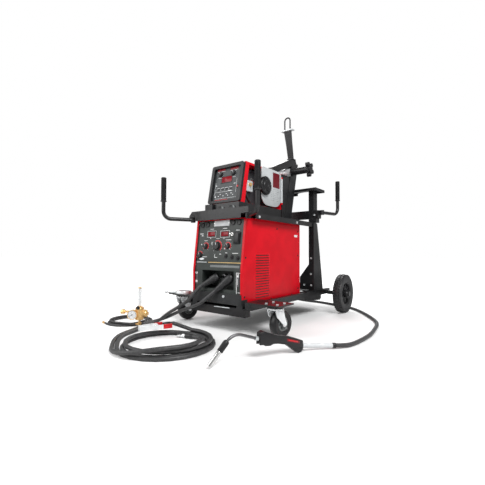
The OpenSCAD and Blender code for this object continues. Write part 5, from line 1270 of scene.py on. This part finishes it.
def makeRegulator():
    way, side = regulator["way"], regulator["side"]
    base = Matrix.Translation(regulator["place"] / 1000)
    low, high = flowTube["low"], flowTube["high"]
    makePiece("regulatorBrass", "brassMetal", [
        (addTurned, [(0, 0), (6, 0), (7, 1), (7, 44), (9, 46), (22, 46), (26, 50), (26, 76), (25, 78),
                     (25, 98), (26, 100), (26, 121), (24, 124), (17, 124), (17, 130), (15, 132), (11, 132),
                     (0, 132)], base, 48),
        (addTurned, [(0, 14), (11, 14), (12, 15), (12, 29), (11, 30), (0, 30)], base, 6),
        (addTurned, [(0, 10), (25, 10), (25, 26), (23.5, 28), (25, 30), (25, 40), (22, 46), (12, 50),
                     (10, 52), (10, 55.5), (0, 56)], regAlong(way, 85), 48),
        (addTurned, [(0, 20), (7, 20), (7, 92), (9, 92), (9, 94), (16, 94), (16, 96), (16, 116), (14.6, 118),
                     (9, 118), (8, 114), (0, 114)], regAlong(-way, 97), 6),
        (addTurned, [(0, 5), (7.5, 5), (7.5, 12), (4.5, 12), (4.5, 25), (0, 25)], regAlong(-way, hoseUp), 24),
        (addTurned, stub(10, 8.5, 8, 26.5, 28), regAlong(side, 126), 28),
        (addTurned, stub(13, 10, high, high + 3, high + 7), base)], node="regulator_body")
    makePiece("flowTube", "clearTube", [(addTurned, ringOf(10.5, 13, low, high), base, 40)])
    makePiece("flowScale", "whitePlate", [
        (addTurned, disc(3.2, low, high), base, 20),
        (addTurned, [(3.2, 150), (6.4, 152.5), (6.4, 156), (3.2, 158.5)], base, 20)] + [
        (addTurned, ringOf(10.3, 10.55, z, z + 1), base) for z in flowTube["marks"]])
    dial = regAlong(side, gauge["high"], gauge["from"], gauge["across"])
    makePiece("gaugeCase", "brassMetal", [
        (addTurned, [(0, 0), (28, 0), (30, 2), (30, 22), (31, 23), (31, 26), (28.5, 26), (28, 23), (0, 23)],
         dial, 48)])
    makePiece("gaugeDial", "whitePlate", [(addTurned, disc(27.9, 22.4, 23.4), dial, 48)], smooth=20)
    marks = []
    for i in range(gauge["ticks"] + 1):
        tick = turned(dial, gauge["sweep"] / 2 - gauge["sweep"] * i / gauge["ticks"])
        marks.append((addBlock, (-0.5, 22.5 if i % 5 else 20, 23.3), (0.5, 26, 23.6), tick))
    marks += [(addBlock, (-0.7, -5, 23.6), (0.7, 21, 24.3), turned(dial, gauge["needle"])),
              (addTurned, disc(3, 23.4, 25), dial, 20)]
    makePiece("gaugeMarks", "coreIron", marks, smooth=0)
    valve = regAlong(side, 126, 28.3)
    makePiece("valveKnob", "blackPlastic", [
        (addTurned, [(0, -14), (2.9, -14), (2.9, 0), (9, 0), (9.5, 1), (9.5, 13), (8, 14), (0, 14)], valve,
         24)] + [
        (addBlock, (8.5, -1.7, 1), (11.4, 1.7, 13), spot, 1) for spot in around(valve, 10)],
        "flow_valve", "valve_knob")


def makeEndFittings():
    base = frameOf(hoseStart, -gasHose["startWay"])
    makePiece("hoseFitting", "brassMetal", [
        (addTurned, [(0, 0), (6.5, 0), (6.5, 16), (5.5, 18), (5.5, 22), (0, 22)], base, 28),
        (addTurned, [(0, 21), (6.5, 21), (7.5, 22), (7.5, 40), (6.5, 41), (4.5, 41), (4.5, 38), (0, 38)],
         base, 6),
        (addTurned, stub(4, 3, 36, 43, 44), base, 20)], node="hose_fitting")
    base = frameOf(plugPlace, gunCable["plugWay"])
    sleeve = [(0, 0), (11.2, 0), (11.8, 2), (11.8, 44), (10.5, 49), (0, 50)]
    makePiece("plugSleeve", "blackPlastic",
              [(addTurned, sleeve, base)] + ribs((8, 14, 20, 26, 32, 38), 11.4, 12, base))
    makePiece("gunPlug", "brassMetal", [(addTurned, [
        (0, 49), (9.5, 49), (9.5, 66), (8, 67), (8, 72), (9.5, 73), (9.5, 92), (8.5, 95), (2, 95), (2, 90),
        (0, 90)], base, 28)], node="gun_connector")


makeRegulator()
makeEndFittings()
print("regulator and fittings made")


# cart details: lifting eye, spindle tube, gun socket, side latch and front rod
liftingEye = {"place": Vector((115, 658.8, 1399)), "half": 23, "straight": 77.7, "bar": 5.3}
feederLead = [(116, 118, 890), (118, 130, 862), (120, 152, 826), (118, 176, 800), (112, 196, 786)]
latchHigh = 194


def makeLiftingEye():
    eye, half, straight = liftingEye["place"], liftingEye["half"], liftingEye["straight"]
    arch = [eye + Vector((half, 0, z)) for z in (0, 39, straight)]
    for i in range(1, 12):
        a = math.radians(15 * i)
        arch.append(eye + Vector((half * math.cos(a), 0, straight + half * math.sin(a))))
    arch += [eye + Vector((-half, 0, z)) for z in (straight, 39, 0)]
    makeRod("liftingEye", arch, liftingEye["bar"], "blackPowder")
    nut = [(5, 0), (10, 0), (10, 7), (9, 8), (5, 8)]
    makePiece("eyeSeat", "zincPlate", [
        (addBlock, (67.6, 640.4, 1396.3), (168.4, 677.2, 1402.1), Matrix(), 1.5)] + [
        (addTurned, nut, moved(Matrix(), eye.x + s * half, eye.y, eye.z + 3), 6) for s in (-1, 1)], smooth=25)


def makeCartDetails():
    makePiece("spindleTube", "silverCoat", [(addTurned, [
        (16, -0.5), (26.6, -0.6), (27.6, 0.6), (27.6, 103.6), (26.6, 104.6), (15.4, 104.6)],
        sideOf(61, 638, 1072), 48, False)])
    # dark skirt round the feeder base
    makePiece("feederSkirt", "blackPowder", [
        (addBlock, (-130, 48.7, 706.4), (138, 49.9, 782.6), Matrix(), 0.4, 1),
        (addBlock, (-130.2, 48.7, 706.4), (-129.2, 530.4, 782.6), Matrix(), 0.4, 1),
        (addBlock, (137.2, 48.7, 706.4), (138.2, 530.4, 782.6), Matrix(), 0.4, 1)], smooth=0)
    # gun socket on the wire drive, its clamp plate, thumb nut and lead
    makePiece("gunSocket", "brassMetal", [(addTurned, [
        (11.4, 0), (22, 0), (22, 8), (19, 11), (19, 26), (16, 29), (11.4, 29)], frontOf(100, 158, 917), 36)])
    makePiece("thumbNut", "brassMetal", [
        (addTurned, [(0, 0), (12, 0), (12, 8), (10, 11), (5, 11.6), (0, 11.6)], sideOf(124, 176, 906), 24)])
    makePiece("gunClampPlate", "silverCoat", [
        (addPrism, roundOutline(78, 70, 8), -12, 0, sideOf(124.5, 168, 897), 2, 3)])
    makeRod("feederLead", smoothRoute(feederLead), 9, "bootRubber")
    # latch lever on the left outrigger, its collar, rod below the front
    z = latchHigh
    makePiece("sideLatch", "zincPlate", [
        (addRod, (-471, -4, z), (-436, 14, z), 5, 1), (addRod, (-438, 12, z), (-402, 26, z), 8, 2),
        (addRod, (-471, -16, z), (-471, 8, z), 6.5, 2),
        (addBlock, (-412, 18, z - 8), (-394, 40, z + 5), Matrix(), 2)])
    makePiece("outriggerCollar", "paleZinc", [(addTurned, [
        (46, 186.5), (52, 186.5), (55, 190), (55, 203), (53, 206.5), (49, 207.5), (46, 205)],
        moved(Matrix(), -366, 62), 56)])
    makePiece("frontRod", "zincPlate", [
        (addRod, (-7, -6, 144.5), (114, -6, 147), 2.5, 0.5, 16),
        (addTurned, stub(6, 5, 0, 4, 5), frontOf(66, -3, 210), 6)])


makeLiftingEye()
makeCartDetails()
print("cart details made")
